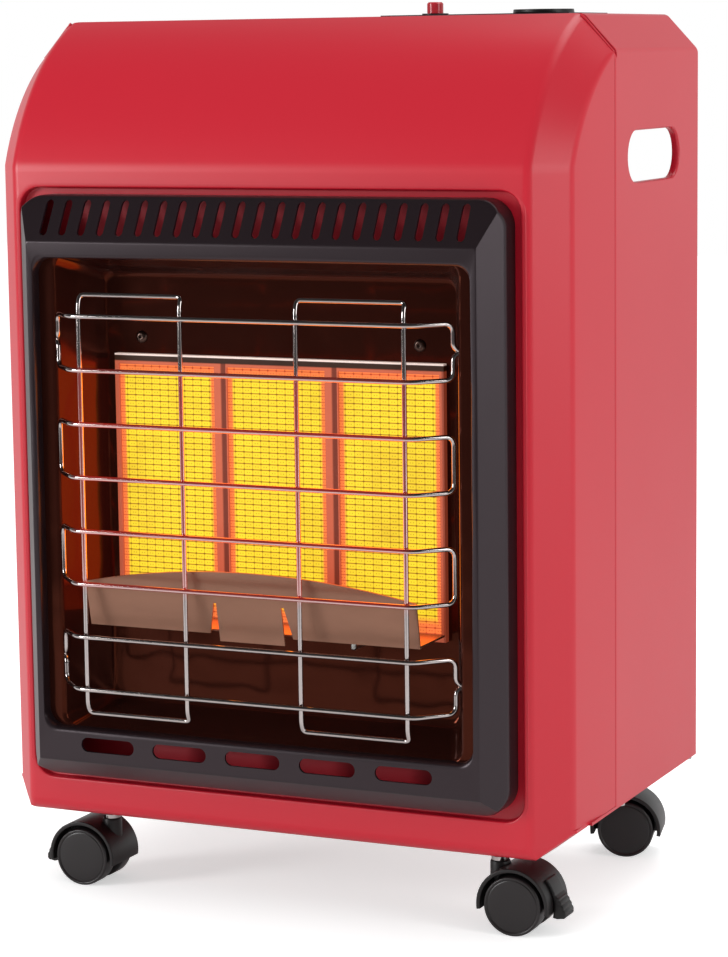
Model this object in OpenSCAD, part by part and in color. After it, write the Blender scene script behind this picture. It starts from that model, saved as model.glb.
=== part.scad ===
// Portable propane cabinet heater on four castors.
// Units are millimetres. The origin is the middle of the footprint on the floor,
// +Z is up, the burner looks along -Y and +X is the right side seen from the front.
// Modules called inside in_body() measure y back from the front face and z up from
// the cabinet's base.

/* [Cabinet] */
// Width of the cabinet
body_w = 420; // [400:1:460]
// Height of the cabinet from its base to the flat top
body_h = 520; // [505:1:540]
// Depth of the front shell, from its face to the seam
shell_depth = 89; // [84:1:100]
// Depth of the rear cabinet behind the seam
cabinet_depth = 172; // [165:1:220]
// Thickness of the painted sheet steel
sheet = 1.2; // [1:0.1:1.6]
// Width of the bevel down each front corner and along the top
bevel_w = 22.5; // [18:0.5:26]
// How far the bevel falls back behind the front face
bevel_drop = 22; // [18:0.5:26]
// Height at which the front starts to curve over
brow_z = 424; // [418:1:428]
// Radius of the curved brow
brow_r = 159; // [140:1:200]
// How far the front shell hangs below the base
skirt_drop = 18; // [12:1:24]
// Radius of the roll along the bottom of the front
skirt_r = 10; // [6:1:12]
// Width of the seam between front shell and rear cabinet
seam = 1; // [0.8:0.1:1.4]
// Width of the turned-in flanges
flange_w = 12; // [8:1:16]

/* [Window and bezel] */
// Width of the window in the front shell
window_w = 360; // [356:1:366]
// Height of the window's lower edge
window_low = 8; // [6:1:9]
// Height of the window's upper edge
window_high = 410; // [408:1:412]
// Corner radius of the window
window_r = 14; // [10:1:18]
// Depth of the pressed recess round the window
recess_d = 6; // [4:0.5:8]
// Width of the bezel
bezel_w = 348; // [344:1:350]
// Height of the bezel's lower edge
bezel_low = 13; // [11:1:14]
// Height of the bezel's upper edge
bezel_high = 406; // [404:1:407]
// Corner radius of the bezel
bezel_r = 18; // [14:1:22]
// How far the bezel's outer edge stands in front of the shell
bezel_edge = 9; // [6:1:11]
// How far the bezel's ridge stands in front of the shell
bezel_proud = 27; // [24:1:27]
// Wall of the bezel
bezel_wall = 2; // [1.6:0.1:2.5]
// Width of the fire opening in the bezel
mouth_w = 312; // [308:1:314]
// Height of the opening's lower edge
mouth_low = 50; // [48:1:51]
// Height of the opening's upper edge
mouth_high = 366; // [364:1:368]
// Corner radius of the opening
mouth_r = 12; // [8:1:16]
// Number of louvres in the top band
louvre_n = 22; // [18:1:24]
// Spacing of the louvres
louvre_pitch = 14.2; // [13:0.1:14.4]
// Width of one louvre
louvre_w = 5.5; // [4.5:0.1:6]
// Number of air slots in the bottom band
air_slot_n = 5; // [3:2:5]
// Spacing of the air slots
air_slot_pitch = 54; // [50:1:56]
// Length of one air slot
air_slot_l = 40; // [34:1:44]
// Height of one air slot
air_slot_h = 9.6; // [8:0.1:10]

/* [Firebox and burner] */
// Width of the firebox at its front edge
firebox_w = 290; // [288:1:292]
// Depth of the firebox
firebox_d = 41; // [40:1:42]
// Slope of the firebox walls, inwards for each unit of depth
firebox_slope = 0.42; // [0.3:0.02:0.44]
// Thickness of the enamelled steel
enamel = 1.2; // [0.8:0.1:1.4]
// Width of one ceramic plaque's glowing face
plaque_w = 71.5; // [68:0.5:73]
// Height of a plaque's glowing face
plaque_h = 169; // [160:1:171]
// Thickness of a plaque
plaque_t = 13; // [11:0.5:14]
// Width of the steel bar between two plaques
bar_w = 9.5; // [8:0.5:10]
// Width of the burner frame's border
frame_border = 5; // [4:0.5:6]
// steel border beside the outer plaques
frame_side = 3.1; // [3:0.1:4]
// Height of the lower edge of the glowing faces
plaque_z = 123; // [121:1:125]
// Depth of the mixing chamber behind the plaques
plenum_d = 22; // [18:1:24]
// Outside radius of the mixing tube
venturi_r = 13; // [11:0.5:14]

/* [Wire guard and deflector] */
// Diameter of the horizontal guard wires
hwire_d = 3.2; // [3:0.1:4]
// Diameter of the vertical guard wires
vwire_d = 3.2; // [3:0.1:3.6]
// Height of the middle of the lowest horizontal loop
hloop_z = 98; // [96:0.5:99]
// Spacing of the horizontal loops
hloop_pitch = 71; // [70:0.5:72]
// Height of one horizontal loop between wire centres
hloop_h = 35.4; // [34:0.2:36.4]
// Half width of the straight part of a horizontal loop
hloop_half = 122; // [119:0.5:125]
// Half spread of a horizontal loop at its set-back ends
hloop_end = 142; // [140:0.5:142.5]
// How far the loop ends are set back
hloop_back = 21; // [20:0.5:22]
// Distance of each vertical loop from the middle
vloop_x = 78.7; // [75:0.2:80]
// Width of one vertical loop between wire centres
vloop_w = 74.7; // [71:0.1:76]
// Height of the lower end of the vertical loops
vloop_low = 63.5; // [60:0.5:65]
// Height of the upper end of the vertical loops
vloop_high = 342.5; // [338:0.5:344]
// Distance from the shell's face forward to the vertical wires
guard_stand = 37; // [36.5:0.1:39]
// Width of the heat deflector
deflector_w = 239; // [234:1:241]
// Height of the deflector's middle above its shelf
deflector_h = 42; // [38:1:43]
// Rise of the arched upper edge
deflector_arch = 13; // [9:1:15]
// Thickness of the deflector's stainless sheet
deflector_t = 1.2; // [0.8:0.1:1.4]
// Distance from the shell's face forward to the deflector's plate
deflector_y = 24; // [20:0.5:24]
// Lean of the deflector's plate, top forward, in degrees
deflector_lean = 11; // [0:1:12]
// How far the deflector's middle tab hangs below its shelf
tab_drop = 5.5; // [3:0.5:8]
// Half width of the deflector's middle tab
tab_half = 23.5; // [18:0.5:28]
// Width at the foot of the slits beside the tab
slit_w = 7; // [4:0.5:8]
// Height of the slits beside the tab
slit_h = 21; // [12:1:24]

/* [Controls and gas] */
// Distance of the knob from the middle
knob_x = 142; // [139:1:143]
// Diameter of the control knob
knob_d = 45; // [42:1:46]
// Height of the knob
knob_h = 16; // [14:0.5:17]
// How far the knob stands above the cabinet top
knob_proud = 3.5; // [3:0.5:5]
// Travel of the knob when it is pushed in
knob_travel = 4; // [3:0.5:4.5]
// Distance of the igniter from the middle
igniter_x = 64; // [62:1:68]
// Diameter of the igniter button
button_d = 11; // [10:0.5:12]
// How far the button stands above the cabinet top
button_proud = 9.5; // [9:0.5:11]
// Travel of the igniter button
button_travel = 6; // [4:0.5:7]
// Distance from the seam back to the row of controls
control_back = 51; // [50:1:60]
// Diameter of the valve stem
stem_d = 6; // [5:0.5:7]
// Diameter of the gas inlet's free end
inlet_d = 15.8; // [14:0.1:17]
// Length of the gas inlet's free end
inlet_l = 14; // [12:1:18]
// Diameter of the burner supply tube
gas_tube_d = 8; // [6:0.5:9]
// Diameter of the pilot tube
pilot_tube_d = 4; // [3:0.5:5]

/* [Handles and rear] */
// Length of each handle slot
handle_l = 104; // [96:1:110]
// Height of each handle slot
handle_h = 34.5; // [32:0.5:36]
// Height of the middle of the handle slots
handle_z = 427; // [420:1:434]
// Distance from the seam back to the middle of the handle slots
handle_back = 77; // [66:1:100]
// Depth of the turned lip round each handle slot
handle_lip = 8; // [6:0.5:9]
// Diameter of the pegs for the loose rear cover
peg_d = 4; // [3:0.5:5]
// How far the pegs stand behind the cabinet
peg_l = 7; // [6.5:0.5:9]
// height of the lowest pair of pegs
peg_low = 203; // [190:1:210]
// distance from one pair of pegs to the next
peg_pitch = 52.5; // [48:0.5:56]
// Inside diameter of the guide for the cylinder's foot ring
guide_d = 206; // [200:1:212]

/* [Castors] */
// Height of the cabinet's base above the floor
base_z = 76; // [76:1:80]
// Diameter of a castor wheel
wheel_d = 40; // [39:0.5:41]
// Width of one wheel of the pair
wheel_w = 13; // [12:0.5:14]
// Distance between the two wheels of a pair
wheel_gap = 11; // [10.5:0.5:12]
// Distance from the swivel axis to the axle
castor_trail = 15; // [13:0.5:17]
// Clearance between wheel tread and hood
hood_clear = 2.6; // [1.2:0.1:3]
// Thickness of the hood
hood_t = 2.6; // [2.4:0.1:4]
// Diameter of the axle
axle_d = 6; // [5:0.5:7]
// Diameter of the threaded stem
castor_stem_d = 8; // [7:0.5:10]
// Distance of the castors from the middle
castor_x = 146; // [140:1:150]
// Distance from the front face to the front castors
castor_front = 44; // [40:1:48]
// Distance from the front face to the rear castors
castor_rear = 250; // [236:1:251]

/* [Hidden] */
$fn = 48;

// Colours
RED = [0.78, 0.12, 0.17];
ANTHRACITE = [0.22, 0.2, 0.21];
ENAMEL = [0.06, 0.05, 0.05];
STEEL = [0.7, 0.7, 0.68];
CHROME = [0.85, 0.85, 0.86];
BRASS = [0.8, 0.65, 0.3];
NYLON = [0.07, 0.07, 0.08];
GLOW = [1, 0.7, 0.1];
CERAMIC = [0.92, 0.9, 0.84];

// Clearances
slip = 0.05;      // radial clearance of a running fit
air = 0.3;        // clearance beside a moving piece
eps = 0.01;       // overshoot of a cut
knuckle = 0.05;   // how much a rod swells at a bend
far = 800;        // longer than any piece, for cutting blocks

// Cabinet, worked out
half_w = body_w / 2;
full_depth = shell_depth + cabinet_depth;
brow_run = norm([shell_depth, body_h - brow_z]);
brow_dir = [shell_depth, body_h - brow_z] / brow_run;
brow_back = sqrt(brow_r * brow_r - brow_run * brow_run / 4);
brow_cy = shell_depth / 2 + brow_dir[1] * brow_back;
brow_cz = (brow_z + body_h) / 2 - brow_dir[0] * brow_back;
brow_in = brow_r - bevel_drop;
bevel_y = brow_cy - sqrt(brow_in * brow_in - pow(brow_z - brow_cz, 2));
top_chamfer = body_h - brow_cz - sqrt(brow_in * brow_in - pow(shell_depth - brow_cy, 2));
mitre = 0.414;    // tangent of half the bevel's angle
plate_t = 2;      // thickness of the base plate
skirt_lift = 2;   // height of the side's lower corner below the base
seam_low = shell_depth - seam / 2;
seam_high = shell_depth + seam / 2;

// Front and rear reach set the origin in the middle of the footprint
guard_reach = guard_stand + vwire_d / 2 + hwire_d;
hwire_y = guard_reach - hwire_d / 2;

// Bezel, worked out
side_slope_w = 14;
top_slope_h = 29;
bottom_slope_h = 33;
lip_d = 7;
ledge_side = 14;
ledge_low = mouth_low - 4;
ledge_high = mouth_high + 6;
louvre_low = bezel_high - 26;
louvre_top = bezel_high - 3;
air_slot_z = 39;

// Firebox and burner, worked out
fire_front = -(bezel_proud - lip_d - 1);
fire_back = fire_front + firebox_d;
fire_low = mouth_low - 2;
fire_high = mouth_high + 2;
burner_half = 1.5 * plaque_w + bar_w + frame_side;
burner_low = plaque_z - frame_border;
burner_high = plaque_z + plaque_h + frame_border + 2;
frame_t = 3;
frame_front = fire_back - frame_t - 2;
plaque_front = frame_front + frame_t;
plaque_back = plaque_front + plaque_t;
plenum_back = plaque_back + plenum_d;
venturi_y = plaque_back + plenum_d / 2 + 1;
venturi_low = 62;
neck_r = venturi_r - 5;
neck_wall = 1.4;
nozzle_top = venturi_low - 3;
block_low = 20;
block_high = 44;

// Controls and gas, worked out
control_y = shell_depth + control_back;
well_r = knob_d / 2 + 4;
knob_low = body_h + knob_proud - knob_h;
well_floor = knob_low - knob_travel - 0.6;
panel_t = 0.8;
well_wall = 1.2;
valve_top = well_floor - well_wall;
valve_w = 36;
valve_d = 30;
bonnet_r = 9;
bonnet_h = 12;
valve_block_h = 40;
valve_block_top = valve_top - bonnet_h;
valve_low = valve_block_top - valve_block_h;
stem_low = valve_low + 14;
tube_r = gas_tube_d / 2;
pilot_r = pilot_tube_d / 2;
tube_x = knob_x - 8;
pilot_x = knob_x + 8;
tube_z = (block_low + block_high) / 2;
pilot_run_z = 54;
pilot_pos_x = 60;
pilot_y = fire_back - 17;
pilot_entry_z = plaque_z - 10;
pilot_floor_z = plaque_z;
pilot_below = 4;
bracket_t = 1.6;
button_low = body_h - 14;
igniter_low = body_h - 44;

// Castors, worked out
axle_z = wheel_d / 2;
hood_in = wheel_d / 2 + hood_clear;
hood_out = hood_in + hood_t;
web_half = wheel_gap / 2 - 0.5;
hood_half = wheel_gap / 2 + wheel_w;
boss_r = 6.8;
boss_top = 46;
stem_bottom = axle_z + axle_d / 2 + 3;
socket_r = 9;
socket_low = boss_top + 10;
brake_half = 9;
brake_arm = 2;
brake_t = 3.4;
pedal = 5;
brake_low = -16;
brake_high = 42;
brake_swing = 12;
rear_turn = 13;
rear_reach = max(full_depth + peg_l,
                 castor_rear + (castor_trail + hood_out) * sin(rear_turn) + hood_half * cos(rear_turn));
front_y = -(rear_reach - guard_reach) / 2;
// A corner is [distance from middle, distance from front face, heading of the trail in degrees]
front_right = [castor_x, castor_front, 0];
front_left = [-castor_x, castor_front, 180];
rear_right = [castor_x, castor_rear, rear_turn];
rear_left = [-castor_x, castor_rear, 180 - rear_turn];
CORNERS = [front_right, front_left, rear_right, rear_left];

// ---- helpers -------------------------------------------------------------------

module in_body() translate([0, front_y, base_z]) children();

// Extrudes an outline drawn in x and z backwards from y0 to y1
module face_slab(y0, y1) translate([0, y1, 0]) rotate([90, 0, 0]) linear_extrude(y1 - y0) children();

// Extrudes an outline drawn in y and z sideways from x0 to x1
module side_slab(x0, x1) translate([x0, 0, 0]) rotate([90, 0, 90]) linear_extrude(x1 - x0) children();

module round_rect(x0, x1, z0, z1, r) {
    union() {
        translate([x0 + r, z0]) square([x1 - x0 - 2 * r, z1 - z0]);
        translate([x0, z0 + r]) square([x1 - x0, z1 - z0 - 2 * r]);
        for (x = [x0 + r, x1 - r], z = [z0 + r, z1 - r]) translate([x, z]) circle(r);
    }
}

module stadium(length, height) {
    union() {
        square([length - height, height], center = true);
        for (s = [-1, 1]) translate([s * (length - height) / 2, 0]) circle(d = height);
    }
}

// Round rod from a to b
module rod(a, b, r) {
    v = b - a;
    translate(a)
        rotate([0, acos(v[2] / norm(v)), atan2(v[1], v[0])])
            cylinder(h = norm(v), r = r);
}

// Round rod through a list of points, with a knuckle at each bend
module bent_rod(points, r, closed = false) {
    last = len(points) - 1;
    union() {
        for (i = [0:last - 1]) rod(points[i], points[i + 1], r);
        for (i = [1:last - 1]) translate(points[i]) sphere(r + knuckle);
        if (closed) {
            rod(points[last], points[0], r);
            translate(points[0]) sphere(r + knuckle);
            translate(points[last]) sphere(r + knuckle);
        }
    }
}

// ---- cabinet -------------------------------------------------------------------

// Front view of the shell, with its corners cut at the foot
module shell_front_view(inset) {
    h = half_w - inset;
    c = half_w - bevel_w - inset * mitre;
    low = inset - skirt_drop;
    corner = inset * mitre - skirt_lift;
    polygon([[-c, low], [c, low], [h, corner], [h, body_h + 1], [-h, body_h + 1], [-h, corner]]);
}

// Plan view of the shell below the brow, with its bevelled front corners
module shell_plan(inset, back) {
    h = half_w - inset;
    c = half_w - bevel_w - inset * mitre;
    b = bevel_y + inset * mitre;
    polygon([[-c, inset], [c, inset], [h, b], [h, back], [-h, back], [-h, b]]);
}

// Side view that rolls the front face under
module shell_side_view(inset, back) {
    union() {
        translate([inset, skirt_r - skirt_drop]) square([back - inset, far]);
        translate([skirt_r, inset - skirt_drop]) square([back - skirt_r, far]);
        translate([skirt_r, skirt_r - skirt_drop]) circle(skirt_r - inset);
    }
}

// Solid form of the front shell, drawn in by inset on every outer side
module shell_mass(inset, back) {
    h = half_w - inset;
    c = half_w - bevel_w - inset * mitre;
    intersection() {
        face_slab(-eps, back) shell_front_view(inset);
        side_slab(-half_w, half_w) shell_side_view(inset, back);
        union() {
            translate([0, 0, -skirt_drop - eps])
                linear_extrude(brow_z + skirt_drop + eps) shell_plan(inset, back);
            intersection() {
                translate([-half_w, 0, brow_z - eps])
                    cube([body_w, back, body_h - inset - brow_z + eps]);
                translate([0, brow_cy, brow_cz]) rotate([0, 90, 0]) union() {
                    cylinder(h = 2 * c, r = brow_r - inset, center = true, $fn = 96);
                    for (s = [0, 180]) rotate([s, 0, 0]) translate([0, 0, c - eps])
                        cylinder(h = h - c + eps, r1 = brow_r - inset, r2 = brow_in - inset, $fn = 96);
                }
            }
        }
    }
}

module front_shell() {
    ledge_y = recess_d + sheet;
    color(RED) in_body() difference() {
        union() {
            difference() {
                shell_mass(0, seam_low);
                shell_mass(sheet, shell_depth + 1);
                // window
                face_slab(-1, sheet + 1)
                    round_rect(-window_w / 2, window_w / 2, window_low, window_high, window_r);
            }
            // turned-in flange at the seam
            difference() {
                intersection() {
                    shell_mass(sheet / 2, seam_low);
                    translate([-half_w, seam_low - sheet, -skirt_drop]) cube([body_w, sheet, far]);
                }
                face_slab(0, shell_depth + 1) cabinet_front_view(flange_w);
                translate([flange_w - half_w, 0, -far / 2])
                    cube([body_w - 2 * flange_w, far, far / 2 + 2 * flange_w]);
            }
            // pressed recess and ledge round the window
            difference() {
                face_slab(sheet / 2, ledge_y) round_rect(-window_w / 2 - sheet, window_w / 2 + sheet,
                    window_low - sheet, window_high + sheet, window_r + sheet);
                face_slab(0, recess_d)
                    round_rect(-window_w / 2, window_w / 2, window_low, window_high, window_r);
                face_slab(0, ledge_y + 1) round_rect(-window_w / 2 + ledge_side,
                    window_w / 2 - ledge_side, ledge_low, ledge_high, mouth_r);
            }
        }
        // open bottom behind the skirt's flange
        translate([-half_w + bevel_w + flange_w, flange_w + skirt_r, -skirt_drop - 1])
            cube([body_w - 2 * (bevel_w + flange_w), far, skirt_drop + 1 - skirt_lift]);
        // the skirt stops short of the seam
        translate([-far / 2, 40, -skirt_drop - 1]) cube([far, far, skirt_drop + 1 - skirt_lift]);
        translate([-far / 2, 46, -skirt_drop - 1]) cube([far, far, skirt_drop + 2]);
    }
}

module cabinet_front_view(inset) {
    h = half_w - inset;
    c = half_w - bevel_w - inset * mitre;
    polygon([[-h, inset], [h, inset], [h, body_h - top_chamfer - inset * mitre],
             [c, body_h - inset], [-c, body_h - inset], [-h, body_h - top_chamfer - inset * mitre]]);
}

module handle_slot(x0, x1, grow) {
    translate([0, seam_high + handle_back, handle_z])
        side_slab(x0, x1) stadium(handle_l + 2 * grow, handle_h + 2 * grow);
}

module rear_cabinet() {
    color(RED) in_body() difference() {
        union() {
            difference() {
                face_slab(seam_high, full_depth) cabinet_front_view(0);
                face_slab(seam_high + sheet, full_depth - sheet) cabinet_front_view(sheet);
                // openings inside the front and rear flanges
                face_slab(seam_high - 1, full_depth + 1) cabinet_front_view(flange_w);
                // open floor between the bottom flanges
                translate([-half_w + flange_w, seam_high + flange_w, -1])
                    cube([body_w - 2 * flange_w, cabinet_depth - 2 * flange_w, 2 * sheet + 1]);
                translate([-half_w + flange_w, seam_high - 1, -1])
                    cube([body_w - 2 * flange_w, cabinet_depth + 2, flange_w + 2]);
            }
            // turned lips round the handle slots
            for (s = [0, 1]) mirror([s, 0, 0]) handle_slot(half_w - handle_lip, half_w - sheet / 2, sheet);
        }
        for (s = [0, 1]) mirror([s, 0, 0]) handle_slot(half_w - handle_lip - 1, half_w + 1, 0);
        // holes in the top for the knob's well and the igniter
        translate([knob_x, control_y, body_h - 2 * sheet])
            cylinder(h = 4 * sheet, r = well_r + well_wall + air);
        translate([igniter_x, control_y, body_h - 2 * sheet])
            cylinder(h = 4 * sheet, r = button_d / 2 + 3.5 + air);
        // peg holes in the rear flange
        rear_pegs_at() translate([0, full_depth + 1, 0]) rotate([90, 0, 0])
            cylinder(h = sheet + 2, d = peg_d - 1);
        base_screws_at() cylinder(h = 3 * plate_t, r = 2, center = true);
    }
}

module rear_pegs_at() {
    for (s = [-1, 1], k = [0:2]) translate([s * (half_w - sheet - peg_d), 0, peg_low + peg_pitch * k]) children();
}

module rear_cover_pegs() {
    color(STEEL) in_body() rear_pegs_at() {
        translate([0, full_depth + peg_l, 0]) rotate([90, 0, 0]) cylinder(h = peg_l, d = peg_d);
        // riveted shank and its head behind the flange
        translate([0, full_depth + 1, 0]) rotate([90, 0, 0]) cylinder(h = sheet + 1, d = peg_d - 1);
        translate([0, full_depth - sheet, 0]) rotate([90, 0, 0]) cylinder(h = 2, d = peg_d + 2);
    }
}

module base_plate() {
    wide = half_w - 0.8;
    front = skirt_r + 8;
    seat = 46.4;
    color(RED) in_body() difference() {
        union() {
            translate([0, 0, -plate_t]) linear_extrude(plate_t) union() {
                translate([-wide, seat]) square([2 * wide, full_depth - seat]);
                intersection() {
                    shell_plan(sheet + 2.2, full_depth);
                    translate([-half_w, front]) square([body_w, full_depth - front]);
                }
            }
            // sockets that carry the castor stems
            for (c = CORNERS) translate([c[0], c[1], socket_low - base_z])
                cylinder(h = base_z - socket_low - plate_t / 2, r = socket_r);
        }
        for (c = CORNERS) translate([c[0], c[1], -far / 2]) cylinder(h = far, d = castor_stem_d);
        // cooling air slots under the burner
        for (k = [-2:2]) translate([k * 40, shell_depth - 34, 0]) rotate([0, 0, 0])
            linear_extrude(3 * plate_t, center = true) stadium(30, 8);
        base_screws_at() cylinder(h = 3 * plate_t, r = 2, center = true);
    }
}

module base_screws_at() {
    for (s = [-1, 1], y = [shell_depth + 24, full_depth - 6.2])
        translate([s * (half_w - 6.2), y, 0]) children();
}

module base_screws() {
    color(STEEL) in_body() base_screws_at() {
        translate([0, 0, -plate_t]) cylinder(h = plate_t + 5, r = 1.95);
        translate([0, 0, -plate_t - 2.4]) cylinder(h = 2.4, r = 4);
    }
}

module divider_panel() {
    color(STEEL) in_body() difference() {
        face_slab(seam_low, seam_high) difference() {
            intersection() {
                cabinet_front_view(3.5);
                translate([-far / 2, 0]) square([far, body_h - 3.5]);
            }
        }
        translate([tube_x, shell_depth, tube_z]) rotate([90, 0, 0])
            cylinder(h = 4 * seam, r = tube_r + 1.2, center = true);
        translate([pilot_x, shell_depth, pilot_run_z]) rotate([90, 0, 0])
            cylinder(h = 4 * seam, r = pilot_r + 1.2, center = true);
    }
}

// ---- bezel ---------------------------------------------------------------------

// Domed block whose sides fall back from the ridge, drawn in by inset
module bezel_mass(inset, back) {
    h = bezel_w / 2 - inset;
    z0 = bezel_low + inset;
    z1 = bezel_high - inset;
    ridge = -bezel_proud + inset;
    edge = -bezel_edge + inset * mitre;
    intersection() {
        face_slab(-bezel_proud - 1, back) round_rect(-h, h, z0, z1, bezel_r - inset);
        translate([0, 0, z0 - 1]) linear_extrude(z1 - z0 + 2)
            polygon([[-h + side_slope_w, ridge], [h - side_slope_w, ridge], [h, edge],
                     [h, back + 1], [-h, back + 1], [-h, edge]]);
        side_slab(-h - 1, h + 1)
            polygon([[ridge, z0 + bottom_slope_h], [ridge, z1 - top_slope_h], [edge, z1],
                     [back + 1, z1], [back + 1, z0], [edge, z0]]);
    }
}

module bezel() {
    mouth_half = mouth_w / 2;
    color(ANTHRACITE) in_body() difference() {
        union() {
            difference() {
                bezel_mass(0, recess_d);
                bezel_mass(bezel_wall, recess_d + 1);
            }
            face_slab(-bezel_proud, -bezel_proud + lip_d)
                round_rect(-mouth_half - bezel_wall, mouth_half + bezel_wall,
                           mouth_low - bezel_wall, mouth_high + bezel_wall, mouth_r + bezel_wall);
        }
        face_slab(-bezel_proud - 1, recess_d + 1)
            round_rect(-mouth_half, mouth_half, mouth_low, mouth_high, mouth_r);
        // louvres along the top band
        for (k = [0:louvre_n - 1])
            translate([(k - (louvre_n - 1) / 2) * louvre_pitch, 0, (louvre_low + louvre_top) / 2])
                face_slab(-bezel_proud - 1, 0) rotate(90) stadium(louvre_top - louvre_low, louvre_w);
        // air slots along the bottom band
        for (k = [0:air_slot_n - 1])
            translate([(k - (air_slot_n - 1) / 2) * air_slot_pitch, 0, air_slot_z])
                face_slab(-bezel_proud - 1, 0) stadium(air_slot_l, air_slot_h);
    }
}

// ---- firebox and burner --------------------------------------------------------

module firebox_mass(inset, back) {
    h0 = firebox_w / 2 - inset;
    run = back - fire_front;
    h1 = h0 - run * firebox_slope;
    lift = run * firebox_slope * 0.8;
    intersection() {
        translate([0, 0, fire_low - 1]) linear_extrude(fire_high - fire_low + 2)
            polygon([[-h0, fire_front], [h0, fire_front], [h1, back], [-h1, back]]);
        side_slab(-h0 - 1, h0 + 1)
            polygon([[fire_front, fire_low + inset], [fire_front, fire_high - inset],
                     [back, fire_high - inset - lift], [back, fire_low + inset + lift]]);
    }
}

module firebox_pan() {
    flange_y = recess_d + sheet;
    color(ENAMEL) in_body() difference() {
        union() {
            difference() {
                firebox_mass(0, fire_back + enamel);
                firebox_mass(enamel, fire_back);
            }
            // flange that seats on the back of the window's ledge
            difference() {
                face_slab(flange_y, flange_y + enamel) round_rect(-window_w / 2 + 4, window_w / 2 - 4,
                    window_low + 4, window_high - 6, window_r);
                firebox_mass(enamel / 2, fire_back);
            }
            // flange that fills the mouth behind the bezel's lip
            difference() {
                face_slab(fire_front, fire_front + enamel) round_rect(-mouth_w / 2 - 1.5, mouth_w / 2 + 1.5,
                    fire_low - 1, fire_high + 1, mouth_r);
                firebox_mass(enamel / 2, fire_back);
            }
        }
        // the burner stands in this opening
        translate([-burner_half + 1.1, fire_back - 1, burner_low + 2])
            cube([2 * burner_half - 2.2, enamel + 2, burner_high - burner_low - 4]);
        // notches that carry the guard's hooks
        guard_hook_tips() cube([9, 9, 2 * hook_rise + hwire_d - 0.6], center = true);
        firebox_screws_at() rotate([-90, 0, 0]) cylinder(h = 6, r = 2, center = true);
        // hole for the pilot tube
        translate([pilot_pos_x, fire_back, pilot_entry_z]) rotate([90, 0, 0])
            cylinder(h = 6, r = pilot_r + 1.2, center = true);
    }
}

screw_x = 101.5;
screw_rise = 11;

module firebox_screws_at() {
    for (s = [-1, 1]) translate([s * screw_x, fire_back, burner_high + screw_rise]) children();
}

module firebox_screws() {
    color(STEEL) in_body() firebox_screws_at() {
        rotate([90, 0, 0]) cylinder(h = 2.2, r = 4.2);
        translate([0, 6, 0]) rotate([90, 0, 0]) cylinder(h = 6, r = 1.95);
    }
}

function plaque_x(k) = k * (plaque_w + bar_w);

module burner_frame() {
    color(STEEL) in_body() difference() {
        union() {
            translate([-burner_half, frame_front, burner_low])
                cube([2 * burner_half, frame_t - 1.2, burner_high - burner_low]);
            // turned edge back to the firebox wall
            difference() {
                translate([-burner_half, frame_front, burner_low])
                    cube([2 * burner_half, fire_back - frame_front, burner_high - burner_low]);
                translate([-burner_half + 1.2, frame_front, burner_low + 1.2])
                    cube([2 * burner_half - 2.4, fire_back, burner_high - burner_low - 2.4]);
            }
        }
        for (k = [-1:1]) translate([plaque_x(k) - plaque_w / 2, frame_front - 1, plaque_z])
            cube([plaque_w, frame_t + 1, plaque_h]);
    }
}

module plaque(k) {
    lap = 1.6;
    color(GLOW) in_body() translate([plaque_x(k) - plaque_w / 2 - lap, plaque_front - 1.2, plaque_z - lap])
        cube([plaque_w + 2 * lap, plaque_t + 1.2, plaque_h + 2 * lap]);
}

module plaque_gasket() {
    rim = 2.6;
    color(CERAMIC) in_body() difference() {
        translate([-burner_half + 2.3, plaque_back, burner_low + 2.3])
            cube([2 * burner_half - 4.6, 2, burner_high - burner_low - 4.6]);
        for (k = [-1:1]) translate([plaque_x(k) - plaque_w / 2 + rim, plaque_back - 1, plaque_z + rim])
            cube([plaque_w - 2 * rim, 4, plaque_h - 2 * rim]);
    }
}

module burner_housing() {
    wall = 1.2;
    color(STEEL) in_body() difference() {
        translate([-burner_half + 2.3, plaque_back + 2, burner_low + 2.3])
            cube([2 * burner_half - 4.6, plenum_d - 2, burner_high - burner_low - 4.6]);
        translate([-burner_half + 2.3 + wall, plaque_back + 1, burner_low + 2.3 + wall])
            cube([2 * (burner_half - 2.3 - wall), plenum_d - wall - 1,
                  burner_high - burner_low - 4.6 - 2 * wall]);
        translate([0, venturi_y, burner_low]) cylinder(h = 12, r = neck_r - neck_wall, center = true);
    }
}

module mixing_tube() {
    wall = neck_wall;
    neck = neck_r;
    top = burner_low + 2.3;
    color(STEEL) in_body() translate([0, venturi_y, venturi_low]) rotate_extrude()
        polygon([[neck - wall, 14], [venturi_r - wall, 0], [venturi_r, 0], [neck, 14],
                 [neck, top - venturi_low - 3], [neck + 4, top - venturi_low - 3],
                 [neck + 4, top - venturi_low], [neck - wall, top - venturi_low]]);
}

module gas_injector() {
    color(BRASS) in_body() translate([0, venturi_y, 0]) difference() {
        union() {
            translate([0, 0, block_high]) cylinder(h = nozzle_top - block_high, r = 4);
            translate([0, 0, block_high]) cylinder(h = 6, r = 6.5, $fn = 6);
        }
        translate([0, 0, block_high - 1]) cylinder(h = far, r = 0.9);
    }
}

module injector_block() {
    color(STEEL) in_body() difference() {
        union() {
            translate([-10, venturi_y - 10, block_low]) cube([20, 20, block_high - block_low]);
            // foot that stands on the base plate
            translate([-16, venturi_y - 10, 0]) cube([32, 20, 2]);
            translate([-10, venturi_y - 1.5, 0]) cube([20, 3, block_low + 1]);
        }
        translate([0, venturi_y, tube_z]) rotate([0, 90, 0]) cylinder(h = 20, r = 1.5);
        translate([0, venturi_y, tube_z]) cylinder(h = far, r = 0.9);
    }
}

// ---- deflector -----------------------------------------------------------------

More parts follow.
